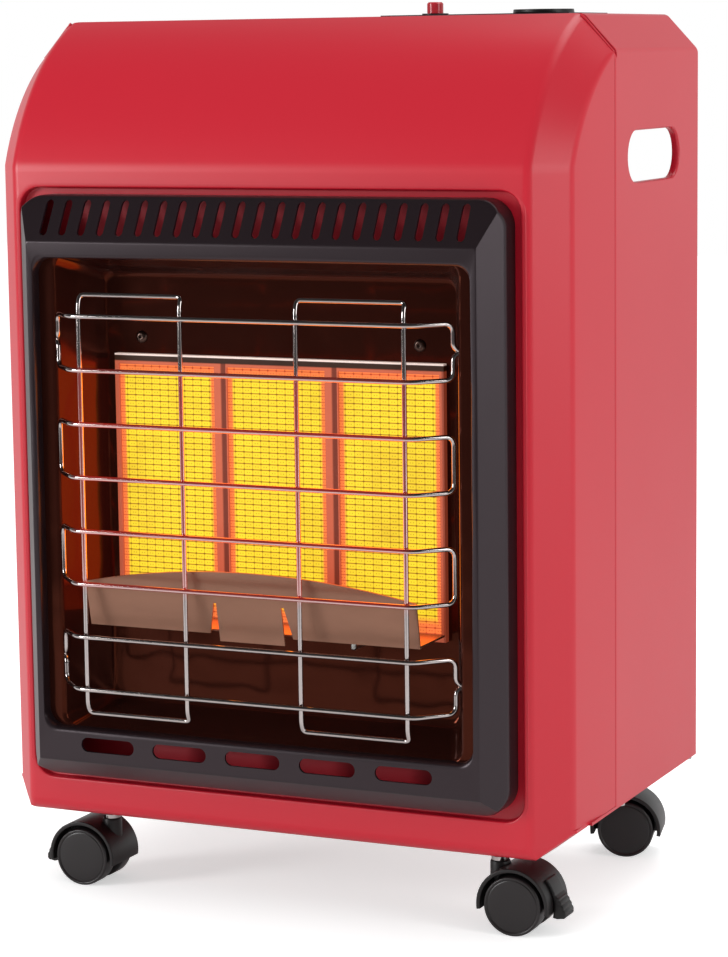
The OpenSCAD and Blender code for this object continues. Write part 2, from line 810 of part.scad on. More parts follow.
// Moves a drawing of the front plate, with its lower edge on the x axis, to its lean
module on_front_plate() {
    translate([0, -deflector_y, plaque_z - deflector_t]) rotate([deflector_lean, 0, 0])
        face_slab(0, deflector_t) children();
}

module deflector() {
    half = deflector_w / 2;
    rise = deflector_h + deflector_t;
    arch_r = (half * half + deflector_arch * deflector_arch) / (2 * deflector_arch);
    overlap = 0.4;
    color(STEEL) in_body() difference() {
        union() {
            // arched front plate with the hanging middle tab
            on_front_plate() difference() {
                union() {
                    intersection() {
                        translate([-half, -overlap]) square([2 * half, rise + overlap]);
                        translate([0, rise - arch_r]) circle(arch_r, $fn = 96);
                    }
                    translate([-tab_half, -tab_drop]) square([2 * tab_half, tab_drop + 1]);
                }
                slit();
                mirror([1, 0]) slit();
            }
            // shelf back to the burner frame, notched behind the tab
            difference() {
                translate([overlap - half, overlap - deflector_y, plaque_z - deflector_t])
                    cube([2 * (half - overlap), frame_front + deflector_y - overlap, deflector_t]);
                translate([-tab_half - slit_w - 1, -deflector_y - 1, plaque_z - far / 2])
                    cube([2 * (tab_half + slit_w + 1), 7, far]);
            }
        }
        // clearance holes for the pilot group
        pilot_row() cylinder(h = far, r = 5.6, center = true);
    }
}

// Slit beside the tab, wider at the foot
module slit() {
    polygon([[tab_half, -2], [tab_half + slit_w, -2], [tab_half + 2, slit_h], [tab_half, slit_h]]);
}

// ---- pilot group ---------------------------------------------------------------

module pilot_row() {
    for (k = [-1:1]) translate([pilot_pos_x + 13 * k, pilot_y, 0]) children();
}

module pilot_bracket() {
    color(STEEL) in_body() difference() {
        union() {
            translate([pilot_pos_x - 22, pilot_y - 8, pilot_floor_z]) cube([44, 16, bracket_t]);
            translate([pilot_pos_x - 22, pilot_y + 6.4, pilot_floor_z]) cube([44, bracket_t, 8]);
        }
        translate([pilot_pos_x - 13, pilot_y, 0]) cylinder(h = far, r = 3.5);
        translate([pilot_pos_x, pilot_y, 0]) cylinder(h = far, r = 4.5);
        translate([pilot_pos_x + 13, pilot_y, 0]) cylinder(h = far, r = 2.5);
    }
}

module pilot_burner() {
    color(BRASS) in_body() translate([pilot_pos_x, pilot_y, pilot_floor_z]) difference() {
        union() {
            translate([0, 0, -pilot_below]) cylinder(h = pilot_below + 20, r = 4.5);
            translate([0, 0, bracket_t]) cylinder(h = 4, r = 6.2, $fn = 6);
        }
        translate([0, 0, 8]) cylinder(h = far, r = 2.6);
        translate([0, 0, 15]) rotate([90, 0, 0]) cylinder(h = 20, r = 1.6, center = true);
    }
}

module thermocouple() {
    color(STEEL) in_body() translate([pilot_pos_x + 13, pilot_y, pilot_floor_z]) {
        translate([0, 0, -pilot_below]) cylinder(h = pilot_below + 24, r = 2.5);
        translate([0, 0, bracket_t]) cylinder(h = 4, r = 4.6, $fn = 6);
    }
}

module electrode_ceramic() {
    color(CERAMIC) in_body() translate([pilot_pos_x - 13, pilot_y, pilot_floor_z]) difference() {
        union() {
            translate([0, 0, -pilot_below]) cylinder(h = pilot_below + 19, r = 3.5);
            translate([0, 0, bracket_t]) cylinder(h = 4, r = 5);
        }
        translate([0, 0, -pilot_below - 1]) cylinder(h = 40, r = 1);
    }
}

module electrode_wire() {
    color(CHROME) in_body() bent_rod([
        [pilot_pos_x - 13, pilot_y, pilot_floor_z - pilot_below - 3],
        [pilot_pos_x - 13, pilot_y, pilot_floor_z + 23],
        [pilot_pos_x - 7, pilot_y, pilot_floor_z + 23]], 1);
}

// ---- wire guard ----------------------------------------------------------------

hook_reach = 3.5;
hook_back = 4;
hook_rise = 3;

module guard_hook_tips() {
    for (s = [-1, 1], k = [0, 3])
        translate([s * (hloop_end + hook_reach), hloop_back + hook_back - hwire_y,
                   hloop_z + k * hloop_pitch]) children();
}

// One horizontal loop; the outer loops have a kinked hook in each end
module guard_horizontal_loop(k) {
    zm = hloop_z + k * hloop_pitch;
    y0 = -hwire_y;
    y1 = y0 + hloop_back;
    e = hloop_end;
    gap = k == 0 || k == 3 ? hook_rise : 0;
    union() {
        for (s = [-1, 1]) bent_rod([
            [e, y1, zm + s * gap], [e, y1, zm + s * hloop_h / 2], [hloop_half, y0, zm + s * hloop_h / 2],
            [-hloop_half, y0, zm + s * hloop_h / 2], [-e, y1, zm + s * hloop_h / 2], [-e, y1, zm + s * gap]],
            hwire_d / 2);
        if (gap > 0) for (s = [-1, 1]) union() {
            bent_rod([[s * e, y1, zm - gap], [s * (e + hook_reach), y1 + hook_back, zm],
                      [s * e, y1, zm + gap]], hwire_d / 2);
            for (t = [-1, 1]) translate([s * e, y1, zm + t * gap]) sphere(hwire_d / 2 + knuckle);
        }
    }
}

module guard_horizontal_loops() {
    color(CHROME) in_body() for (k = [0:3]) guard_horizontal_loop(k);
}

module guard_vertical_loops() {
    tuck = 6;
    color(CHROME) in_body() for (s = [-1, 1]) {
        x0 = s * vloop_x - vloop_w / 2;
        x1 = x0 + vloop_w;
        y = -guard_stand;
        bent_rod([[x0, y, vloop_low + tuck], [x0, y + tuck / 2, vloop_low], [x1, y + tuck / 2, vloop_low],
                  [x1, y, vloop_low + tuck], [x1, y, vloop_high - tuck], [x1, y + tuck / 2, vloop_high],
                  [x0, y + tuck / 2, vloop_high], [x0, y, vloop_high - tuck]], vwire_d / 2, true);
    }
}

// ---- controls and gas ----------------------------------------------------------

module control_panel() {
    margin = 10;
    color(ANTHRACITE) in_body() difference() {
        union() {
            translate([igniter_x - 24, control_y - well_r - margin, body_h])
                cube([knob_x + well_r + margin / 2 - igniter_x + 24, 2 * (well_r + margin), panel_t]);
            translate([knob_x, control_y, well_floor - well_wall])
                cylinder(h = body_h + panel_t - well_floor + well_wall, r = well_r + well_wall);
        }
        translate([knob_x, control_y, well_floor]) cylinder(h = far, r = well_r);
        translate([knob_x, control_y, well_floor - 2 * well_wall]) cylinder(h = far, r = stem_d / 2 + 1);
        translate([igniter_x, control_y, body_h - 1]) cylinder(h = far, r = button_d / 2 + 3.5);
    }
}

module gas_valve() {
    color(BRASS) in_body() translate([knob_x, control_y, 0]) difference() {
        union() {
            translate([-valve_w / 2, -valve_d / 2, valve_low]) cube([valve_w, valve_d, valve_block_h]);
            translate([0, 0, valve_block_top]) cylinder(h = bonnet_h, r = bonnet_r);
            translate([0, valve_d / 2, valve_low + 12]) rotate([-90, 0, 0]) cylinder(h = 8, r = 10);
        }
        translate([0, 0, stem_low]) cylinder(h = far, r = stem_d / 2 + slip);
        translate([0, valve_d / 2 - 6, valve_low + 12]) rotate([-90, 0, 0]) cylinder(h = 20, r = 6);
    }
}

// The stem is round in the valve and has a flat in the knob
module stem_profile(r, flat, low, high) {
    difference() {
        translate([0, 0, low]) cylinder(h = high - low, r = r);
        translate([flat, -r - 1, knob_low - knob_travel]) cube([r, 2 * r + 2, far]);
    }
}

module valve_stem() {
    color(STEEL) in_body() translate([knob_x, control_y, 0])
        stem_profile(stem_d / 2, stem_d / 3, stem_low + 0.5, body_h - 2.5 - air);
}

module control_knob() {
    flutes = 12;
    grip_w = 9;
    skirt_h = 5;
    color(NYLON) in_body() translate([knob_x, control_y, 0]) difference() {
        union() {
            translate([0, 0, knob_low]) cylinder(h = skirt_h, d = knob_d);
            translate([0, 0, knob_low + skirt_h - eps]) difference() {
                cylinder(h = knob_h - skirt_h + eps, d1 = knob_d - 2, d2 = knob_d - 5);
                for (a = [0:flutes - 1]) rotate([0, 0, a * 360 / flutes]) translate([knob_d / 2, 0, 1])
                    cylinder(h = knob_h, d = grip_w / 2);
            }
        }
        // finger recesses either side of the pointer bar
        for (s = [-1, 1]) translate([0, s * (grip_w / 2 + 20), body_h - 1]) rotate([0, 0, 0])
            cube([knob_d - 16, 40, 5.2], center = true);
        translate([0, 0, knob_low - 1]) difference() {
            cylinder(h = body_h - 1.5 + knob_travel - knob_low, r = stem_d / 2 + slip);
            translate([stem_d / 3 + slip, -stem_d, -1]) cube([stem_d, 2 * stem_d, far]);
        }
    }
}

module igniter_housing() {
    color(ANTHRACITE) in_body() translate([igniter_x, control_y, 0]) difference() {
        union() {
            translate([0, 0, igniter_low]) cylinder(h = body_h - sheet - igniter_low, r = button_d / 2 + 6);
            translate([0, 0, body_h - sheet - eps])
                cylinder(h = sheet + panel_t + 1.2, r = button_d / 2 + 3.4);
            translate([0, 0, igniter_low - 14]) cylinder(h = 15, r = 6);
        }
        translate([0, 0, igniter_low + 6]) cylinder(h = far, r = button_d / 2 + slip);
    }
}

module igniter_button() {
    ribs = 16;
    color(RED) in_body() translate([igniter_x, control_y, 0]) union() {
        translate([0, 0, button_low - 8])
            cylinder(h = body_h + button_proud - button_low + 7, r = button_d / 2);
        translate([0, 0, body_h + button_proud - 1 - eps])
            cylinder(h = 1 + eps, r1 = button_d / 2, r2 = button_d / 2 - 1);
    }
}

module gas_inlet() {
    start = valve_d / 2 + 8;
    color(BRASS) in_body() translate([knob_x, control_y, valve_low + 12]) rotate([-90, 0, 0]) difference() {
        union() {
            translate([0, 0, start]) cylinder(h = 8, r = 11.5, $fn = 6);
            translate([0, 0, start + 8]) cylinder(h = inlet_l, d = inlet_d);
        }
        translate([0, 0, start - 1]) cylinder(h = far, r = 4.5);
    }
}

module burner_tube() {
    color(STEEL) in_body() bent_rod([
        [tube_x, control_y, valve_low], [tube_x, control_y, tube_z],
        [tube_x, venturi_y, tube_z], [10, venturi_y, tube_z]], tube_r);
}

module pilot_tube() {
    behind = (fire_back + enamel + shell_depth) / 2 + 8;
    color(STEEL) in_body() bent_rod([
        [pilot_x, control_y, valve_low], [pilot_x, control_y, pilot_run_z],
        [pilot_x, behind, pilot_run_z], [pilot_pos_x, behind, pilot_run_z],
        [pilot_pos_x, behind, pilot_entry_z], [pilot_pos_x, pilot_y, pilot_entry_z],
        [pilot_pos_x, pilot_y, pilot_floor_z - pilot_below]], pilot_r);
}

module tilt_switch() {
    color(NYLON) in_body() translate([-half_w + 60, shell_depth - 34, 0]) union() {
        cube([34, 24, 16]);
        translate([6, 12, 15]) cylinder(h = 6, r = 3);
        translate([28, 12, 15]) cylinder(h = 6, r = 3);
    }
}

module cylinder_guide() {
    wall = 2;
    rise = 14;
    cy = seam_high + guide_d / 2 + wall + 8;
    color(STEEL) in_body() intersection() {
        translate([0, cy, 0]) difference() {
            union() {
                cylinder(h = rise, d = guide_d + 2 * wall, $fn = 96);
                cylinder(h = wall, d = guide_d + 2 * wall + 16, $fn = 96);
            }
            translate([0, 0, -1]) cylinder(h = rise + 2, d = guide_d, $fn = 96);
        }
        translate([-far / 2, seam_high + 2, -1]) cube([far, cy - seam_high - 2 - 0.3 * guide_d, far]);
    }
}

// ---- castors -------------------------------------------------------------------

// Places a castor piece drawn with its swivel axis at the origin and its trail along +x
module at_corner(c) translate([c[0], c[1] + front_y, 0]) rotate([0, 0, c[2]]) children();

// Cylinder across the castor, centred on the axle
module across(r, half) translate([castor_trail, half, axle_z]) rotate([90, 0, 0])
    cylinder(h = 2 * half, r = r);

module castor_stems() {
    color(CHROME) for (c = CORNERS) translate([c[0], c[1] + front_y, 0]) union() {
        translate([0, 0, stem_bottom]) cylinder(h = base_z + 3 - stem_bottom, d = castor_stem_d);
        // shoulder that sits on the hood, and nut that holds the base plate
        translate([0, 0, boss_top + air]) cylinder(h = 2.5, d = castor_stem_d + 4);
        translate([0, 0, base_z]) cylinder(h = 6, r = 8, $fn = 6);
    }
}

module castor_hood(c) {
    color(NYLON) at_corner(c) difference() {
        union() {
            // curved cover over both wheels
            difference() {
                across(hood_out, hood_half);
                across(hood_in, hood_half + 1);
            }
            // web between the wheels, with the swivel boss
            across(hood_in + 1, web_half);
            translate([0, 0, axle_z - 5]) cylinder(h = boss_top - axle_z + 5, r = boss_r);
        }
        // open underside
        translate([castor_trail - far / 2, -far / 2, axle_z - 4 - far]) cube([far, far, far]);
        // wheels run in here
        for (s = [0, 1]) mirror([0, s, 0]) translate([castor_trail, hood_half + 1, axle_z]) rotate([90, 0, 0])
            cylinder(h = hood_half + 1 - web_half, r = hood_in);
        translate([0, 0, stem_bottom - 0.5]) cylinder(h = far, r = castor_stem_d / 2 + slip);
        // slot for the brake's arm
        translate([castor_trail, -brake_arm / 2 - air, 0]) cube([far, brake_arm + 2 * air, far]);
        across(axle_d / 2 + 4, brake_arm / 2 + air);
        across(axle_d / 2, far / 2);
    }
}

module castor_axle(c) {
    color(STEEL) at_corner(c) across(axle_d / 2, hood_half - 2.5);
}

// side is 1 for the wheel that shows from the front and -1 for its partner
module castor_wheel(c, side) {
    tread = 2.5;
    back = c[2] > 90 ? -side : side;
    color(NYLON) at_corner(c) translate([castor_trail, -back * (wheel_gap / 2 + wheel_w / 2), axle_z])
        rotate([90, 0, 0]) mirror([0, 0, back > 0 ? 0 : 1]) difference() {
            translate([0, 0, -wheel_w / 2]) rotate_extrude($fn = 72)
                polygon([[axle_d / 2 + slip, 0], [wheel_d / 2 - 1, 0], [wheel_d / 2, 1],
                         [wheel_d / 2, wheel_w - 0.8], [wheel_d / 2 - 0.8, wheel_w],
                         [wheel_d / 2 - tread - 1, wheel_w], [wheel_d / 2 - tread - 1.4, wheel_w - 0.5],
                         [0, wheel_w - 0.5], [0, wheel_w - 2.2], [axle_d / 2 + slip, wheel_w - 2.2]]);
        }
}

module castor_brake(c) {
    color(NYLON) at_corner(c) difference() {
        union() {
            intersection() {
                difference() {
                    across(hood_out + air + brake_t, brake_half);
                    across(hood_out + air, brake_half + 1);
                }
                brake_wedge(brake_low, brake_high);
            }
            // pedal
            intersection() {
                difference() {
                    across(hood_out + air + brake_t + pedal, brake_half);
                    across(hood_out + air, brake_half + 1);
                }
                brake_wedge(brake_low, brake_low + 8);
            }
            intersection() {
                across(hood_out + air + 1, brake_arm / 2);
                union() {
                    brake_wedge(8, 30);
                    across(axle_d / 2 + 3.5, brake_arm);
                }
            }
        }
        across(axle_d / 2 + slip, far / 2);
    }
}

// Wedge about the axle between two heights of angle, seen from the side
module brake_wedge(a0, a1) {
    reach = 2 * hood_out;
    translate([castor_trail, brake_half + 1, axle_z]) rotate([90, 0, 0]) linear_extrude(2 * brake_half + 2)
        polygon([[0, 0], reach * [cos(a0), sin(a0)], reach * [cos((a0 + a1) / 2), sin((a0 + a1) / 2)],
                 reach * [cos(a1), sin(a1)]]);
}

// ---- nodes ---------------------------------------------------------------------

front_shell();
rear_cabinet();
base_plate();
divider_panel();
bezel();
firebox_pan();
burner_housing();
burner_frame();
plaque(-1);  // plaque_left
plaque(0);  // plaque_centre
plaque(1);  // plaque_right
plaque_gasket();
mixing_tube();
gas_injector();
injector_block();
deflector();
pilot_bracket();
pilot_burner();
thermocouple();
electrode_ceramic();
electrode_wire();
guard_horizontal_loops();
guard_vertical_loops();
gas_valve();
valve_stem();
control_knob();
control_panel();
igniter_housing();
igniter_button();
gas_inlet();
burner_tube();
pilot_tube();
tilt_switch();
cylinder_guide();
rear_cover_pegs();
firebox_screws();
base_screws();
castor_stems();
castor_hood(front_right);  // hood_front_right
castor_axle(front_right);  // axle_front_right
castor_wheel(front_right, 1);  // wheel_a_front_right
castor_wheel(front_right, -1);  // wheel_b_front_right
castor_brake(front_right);  // brake_front_right
castor_hood(front_left);  // hood_front_left
castor_axle(front_left);  // axle_front_left
castor_wheel(front_left, 1);  // wheel_a_front_left
castor_wheel(front_left, -1);  // wheel_b_front_left
castor_brake(front_left);  // brake_front_left
castor_hood(rear_right);  // hood_rear_right
castor_axle(rear_right);  // axle_rear_right
castor_wheel(rear_right, 1);  // wheel_a_rear_right
castor_wheel(rear_right, -1);  // wheel_b_rear_right
castor_hood(rear_left);  // hood_rear_left
castor_axle(rear_left);  // axle_rear_left
castor_wheel(rear_left, 1);  // wheel_a_rear_left
castor_wheel(rear_left, -1);  // wheel_b_rear_left
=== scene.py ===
import math

import bmesh
import bpy
import numpy as np
from mathutils import Matrix, Vector


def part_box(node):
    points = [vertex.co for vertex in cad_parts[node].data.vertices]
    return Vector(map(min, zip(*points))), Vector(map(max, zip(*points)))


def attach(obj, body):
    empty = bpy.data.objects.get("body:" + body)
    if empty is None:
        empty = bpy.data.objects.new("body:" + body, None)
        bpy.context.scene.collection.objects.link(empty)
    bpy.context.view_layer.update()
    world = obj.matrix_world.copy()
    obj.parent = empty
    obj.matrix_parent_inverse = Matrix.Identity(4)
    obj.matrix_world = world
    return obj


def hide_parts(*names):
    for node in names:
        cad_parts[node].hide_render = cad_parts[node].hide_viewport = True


bl_info = {
    "name": "Cabinet heater dressing",
    "version": (1, 0, 0),
    "blender": (4, 5, 0),
    "location": "3D View > Sidebar > Heater",
    "description": "Builds the visible surfaces and finishes of a portable cabinet heater",
    "category": "Object",
}

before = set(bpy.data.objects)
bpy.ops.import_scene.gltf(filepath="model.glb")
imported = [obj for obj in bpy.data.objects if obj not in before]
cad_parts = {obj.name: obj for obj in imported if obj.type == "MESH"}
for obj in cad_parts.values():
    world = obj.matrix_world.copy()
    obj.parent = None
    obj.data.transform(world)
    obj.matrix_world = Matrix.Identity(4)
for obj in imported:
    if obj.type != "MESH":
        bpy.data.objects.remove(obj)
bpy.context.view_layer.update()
MM = 0.001

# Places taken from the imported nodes, in metres
(_, FACE_Y, SKIRT_Z), (_, SHELL_BACK_Y, _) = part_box("front_shell")
(_, SEAM_Y, BASE_Z), (HALF_W, REAR_Y, TOP_Z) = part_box("rear_cabinet")
PLAQUES = ("plaque_left", "plaque_centre", "plaque_right")

# Points nearer than this are one point: on plain pieces, on small ones and on the front shell
WELD, FINE_WELD, SHELL_WELD = 1e-5, 1e-6, 2e-5
FULL_TURN = 2 * math.pi
_, ALONG_Y, ALONG_Z = np.eye(3)
# Corners of a rectangle from the lower left, anticlockwise: the way in, and each arc's first angle
INWARD = np.array([[1, 1], [-1, 1], [-1, -1], [1, -1]], float)
ARC_START = np.array([math.pi, 1.5 * math.pi, 0.0, 0.5 * math.pi])


# ---- surfaces ------------------------------------------------------------------


def grid_faces(rows, cols, wrap_rows, wrap_cols, start):
    """Quads of a rows by cols grid, counted row after row from start, closed where asked."""
    i = np.arange(rows if wrap_rows else rows - 1)
    j = np.arange(cols if wrap_cols else cols - 1)
    i, j = np.meshgrid(i, j, indexing="ij")
    i2, j2 = (i + 1) % rows, (j + 1) % cols
    quads = np.stack([i * cols + j, i * cols + j2, i2 * cols + j2, i2 * cols + j], -1)
    return quads.reshape(-1, 4) + start


def add_object(name, mesh):
    """Puts a mesh into the scene as an object at the origin."""
    obj = bpy.data.objects.new(name, mesh)
    bpy.context.scene.collection.objects.link(obj)
    return obj


def clean(obj, merge):
    """Merges doubles, drops collapsed faces and turns every face outwards."""
    bm = bmesh.new()
    bm.from_mesh(obj.data)
    bmesh.ops.remove_doubles(bm, verts=bm.verts, dist=merge)
    bmesh.ops.dissolve_degenerate(bm, dist=merge, edges=bm.edges)
    bmesh.ops.recalc_face_normals(bm, faces=bm.faces)
    bm.to_mesh(obj.data)
    bm.free()
    return obj


def mesh_piece(name, patches, merge=WELD):
    """One mesh object from patches that meet, each (grid of points, wrap_rows, wrap_cols)."""
    points, faces, start = [], [], 0
    for grid, wrap_rows, wrap_cols in patches:
        rows, cols = grid.shape[:2]
        points.append(grid.reshape(-1, 3))
        faces.append(grid_faces(rows, cols, wrap_rows, wrap_cols, start))
        start += rows * cols
    mesh = bpy.data.meshes.new(name)
    mesh.from_pydata(np.concatenate(points).tolist(), [], np.concatenate(faces).tolist())
    mesh.validate()
    return clean(add_object(name, mesh), merge)


def join(objects, name):
    """One piece from the meshes of several, which are removed."""
    bm = bmesh.new()
    for obj in objects:
        bm.from_mesh(obj.data)
    mesh = bpy.data.meshes.new(name)
    bm.to_mesh(mesh)
    bm.free()
    for obj in objects:
        bpy.data.objects.remove(obj)
    return add_object(name, mesh)


def smooth(obj, degrees):
    """Smooth shading, with edges sharper than the angle kept crisp."""
    mesh = obj.data
    mesh.polygons.foreach_set("use_smooth", np.ones(len(mesh.polygons), bool))
    mesh.set_sharp_from_angle(angle=math.radians(degrees))


def even_shading(obj, degrees):
    """Smooth shading whose normals follow the larger faces, so that flat sheet stays flat."""
    smooth(obj, degrees)
    even = obj.modifiers.new("even shading", "WEIGHTED_NORMAL")
    even.keep_sharp = True
    even.weight = 80
    apply_modifiers(obj)


def face_towards(obj, direction):
    """Turns an open skin over if its faces look away from the direction."""
    mesh = obj.data
    count = len(mesh.polygons)
    normals, area = np.zeros(3 * count), np.zeros(count)
    mesh.polygons.foreach_get("normal", normals)
    mesh.polygons.foreach_get("area", area)
    if (normals.reshape(-1, 3) * area[:, None]).sum(0) @ direction < 0:
        mesh.flip_normals()


def apply_modifiers(obj):
    """Replaces the mesh by what its modifiers make of it."""
    graph = bpy.context.evaluated_depsgraph_get()
    mesh = bpy.data.meshes.new_from_object(obj.evaluated_get(graph))
    old = obj.data
    obj.modifiers.clear()
    obj.data = mesh
    mesh.name = obj.name
    bpy.data.meshes.remove(old)


def add_wall(obj, thickness):
    """Gives a skin its sheet thickness, on the inner side."""
    wall = obj.modifiers.new("wall", "SOLIDIFY")
    wall.thickness = thickness
    wall.offset = -1.0
    wall.use_even_offset = False
    apply_modifiers(obj)


def round_edges(obj, width, degrees):
    """Rounds every edge sharper than the angle."""
    bevel = obj.modifiers.new("rounding", "BEVEL")
    bevel.width = width
    bevel.segments = 3
    bevel.limit_method = "ANGLE"
    bevel.angle_limit = math.radians(degrees)
    bevel.harden_normals = False
    bevel.use_clamp_overlap = True
    apply_modifiers(obj)


def cut(obj, cutter):
    """Cuts the cutter's volume out of the piece and removes the cutter."""
    mod = obj.modifiers.new("cut", "BOOLEAN")
    mod.operation = "DIFFERENCE"
    mod.solver = "EXACT"
    mod.object = cutter
    apply_modifiers(obj)
    bpy.data.objects.remove(cutter)


def finish_piece(obj, finish, body, slot, *nodes):
    """Paints a piece, rides it on its body and lets it stand for its CAD nodes."""
    obj.data.materials.clear()
    obj.data.materials.append(FINISH[finish])
    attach(obj, body)
    if nodes:
        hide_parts(*nodes)


def paint(finish, *nodes):
    """Gives the own meshes of CAD nodes a finish."""
    for name in nodes:
        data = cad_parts[name].data
        data.materials.clear()
        data.materials.append(FINISH[finish])


def middle_of(node):
    """Centre of a node's box."""
    lo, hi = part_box(node)
    return (np.array(lo) + np.array(hi)) / 2


def unit(v):
    """Vectors of length 1: each divided by its length."""
    return v / np.maximum(np.linalg.norm(v, axis=-1, keepdims=True), 1e-12)


def bend(before, at, after, setback, steps, share=0.48):
    """Curve (1-t)^2 A + 2t(1-t) C + t^2 B across each corner C, where A and B lie on its two legs
    at the setback from it, or at a share of the shorter leg where that is less."""
    legs = np.minimum(np.linalg.norm(at - before, axis=1), np.linalg.norm(after - at, axis=1))
    back = np.minimum(setback, share * legs)[:, None]
    a, b = at - unit(at - before) * back, at + unit(after - at) * back
    t = np.linspace(0, 1, steps)[None, :, None]
    return (1 - t) ** 2 * a[:, None] + 2 * t * (1 - t) * at[:, None] + t**2 * b[:, None]


def rounded_path(points, setback, steps=6, closed=True):
    """Path with every corner bent; an open path keeps its two ends."""
    p = np.asarray(points, float)
    curve = bend(np.roll(p, 1, 0), p, np.roll(p, -1, 0), setback, steps)
    if closed:
        return curve.reshape(-1, p.shape[1])
    return np.vstack([p[:1], curve[1:-1].reshape(-1, p.shape[1]), p[-1:]])


def end_fan(ring, middle):
    """Flat end of a piece: a fan from a ring of points to one in its middle."""
    return np.stack([ring, np.repeat(middle[None], len(ring), 0)]), False, True


def tube(name, path, radius, closed=True, sides=14):
    """Round wire: a circle of the radius carried along the path, in the plane square to its
    tangent, with flat ends on an open one."""
    step = np.roll(path, -1, 0) - np.roll(path, 1, 0) if closed else np.gradient(path, axis=0)
    tangent = unit(step)
    side = unit(ALONG_Y - tangent * (tangent @ ALONG_Y)[:, None])
    up = np.cross(tangent, side)
    angle = np.linspace(0, FULL_TURN, sides, endpoint=False)[None, :, None]
    rings = path[:, None] + radius * (np.cos(angle) * side[:, None] + np.sin(angle) * up[:, None])
    ends = () if closed else (0, -1)
    return mesh_piece(name, [(rings, closed, True)] + [end_fan(rings[k], path[k]) for k in ends])


def lathe(profile, centre, axis, start, sides):
    """Surface of revolution: each (radius, height) of the profile turned about the axis through
    the centre, from the start direction."""
    angle = np.linspace(0, FULL_TURN, sides, endpoint=False)[:, None, None]
    spoke = np.cos(angle) * start + np.sin(angle) * np.cross(axis, start)
    return centre + profile[None, :, :1] * spoke + profile[None, :, 1:] * axis, True, False


def turned_band(profile, angles, centre, axle, trail, stretch=1.0):
    """Profile of (radius, sideways) points carried round the axle through the angles, from the
    trail direction, with closed ends. The stretch of each angle acts beyond the inner radius."""
    spoke = np.cos(angles)[:, None] * trail + np.sin(angles)[:, None] * ALONG_Z
    low = profile[:, 0].min()
    radius = low + (profile[None, :, 0] - low) * np.broadcast_to(stretch, len(angles))[:, None]
    rings = centre + radius[..., None] * spoke[:, None] + profile[None, :, 1:] * axle
    return [(rings, False, True)] + [end_fan(rings[k], rings[k].mean(0)) for k in (0, -1)]


def stadium_loop(length, height, sides=16):
    """Outline of a slot: two half circles joined by straights, as (along, across) pairs."""
    a = np.linspace(-math.pi / 2, math.pi / 2, sides)
    r = height / 2
    right = np.stack([length / 2 - r + r * np.cos(a), r * np.sin(a)], -1)
    return np.vstack([right, -right])


def corner_points(half, low, high):
    """Corners of a rectangle from the lower left, anticlockwise."""
    return np.array([[-half, low], [half, low], [half, high], [-half, high]], float)


def arcs_about(centres, radius, angle):
    """One arc of (x, z) points for each centre: the radius times the cosine and sine."""
    return centres[:, None] + radius * np.stack([np.cos(angle), np.sin(angle)], -1)


def join_arcs(arcs, along):
    """Loop of four corner arcs and the straights between them, each cut into equal parts."""
    t = (np.arange(1, along) / along)[None, :, None]
    straight = arcs[:, -1:] * (1 - t) + np.roll(arcs[:, :1], -1, 0) * t
    return np.concatenate([arcs, straight], 1).reshape(-1, 2)


def rect_loop(half, low, high, radii, steps=8, along=10):
    """Rounded rectangle about x = 0, with equal counts on every side so that loops of different
    sizes pair up point by point."""
    radii = np.broadcast_to(np.asarray(radii, float), (4,))[:, None]
    centres = corner_points(half, low, high) + INWARD * radii
    angle = ARC_START[:, None] + np.linspace(0, math.pi / 2, steps)[None]
    return join_arcs(arcs_about(centres, radii[..., None], angle), along)


def grown(opening, rim):
    """Half width, foot, top and corner radius of an opening with a rim added all round."""
    half, low, high, radius = opening
    return half + rim, low - rim, high + rim, radius + rim


def loop_at(loop, y):
    """Puts an (x, z) loop given in millimetres of the cabinet at the depth y, in metres."""
    y = np.broadcast_to(y, len(loop))
    return np.column_stack([loop[:, 0] * MM, y, BASE_Z + loop[:, 1] * MM])


def profile_ring(loops, setbacks):
    """Ring surface: at every place round the loops a profile runs from loop to loop, and its inner
    corners are bent at their setbacks."""
    parts = [loops[0][:, None]]
    for k in range(1, len(loops) - 1):
        parts.append(bend(loops[k - 1], loops[k], loops[k + 1], setbacks[k], 5))
    return np.concatenate([*parts, loops[-1][:, None]], 1)


def prism_mesh(name, loops, y0, y1, place=None):
    """Closed prisms along y for cutting: each (x, z) loop becomes a wall with two flat ends. The
    place moves the mesh and leaves its object at the origin."""
    verts, faces, start = [], [], 0
    for loop in loops:
        n = len(loop)
        verts += [np.column_stack([loop[:, 0], np.full(n, y), loop[:, 1]]) for y in (y0, y1)]
        faces += grid_faces(2, n, False, True, start).tolist()
        faces.append(list(range(start + n - 1, start - 1, -1)))
        faces.append(list(range(start + n, start + 2 * n)))
        start += 2 * n
    mesh = bpy.data.meshes.new(name)
    mesh.from_pydata(np.concatenate(verts).tolist(), [], faces)
    obj = clean(add_object(name, mesh), 1e-7)
    if place:
        obj.data.transform(place)
        obj.data.update()
    return obj


# ---- node groups and finishes --------------------------------------------------

GROUPS = {}
FINISH = {}
NUMBER, VECTOR, COLOUR = "NodeSocketFloat", "NodeSocketVector", "NodeSocketColor"
WHITE, BLACK = (1.0, 1.0, 1.0), (0.0, 0.0, 0.0)


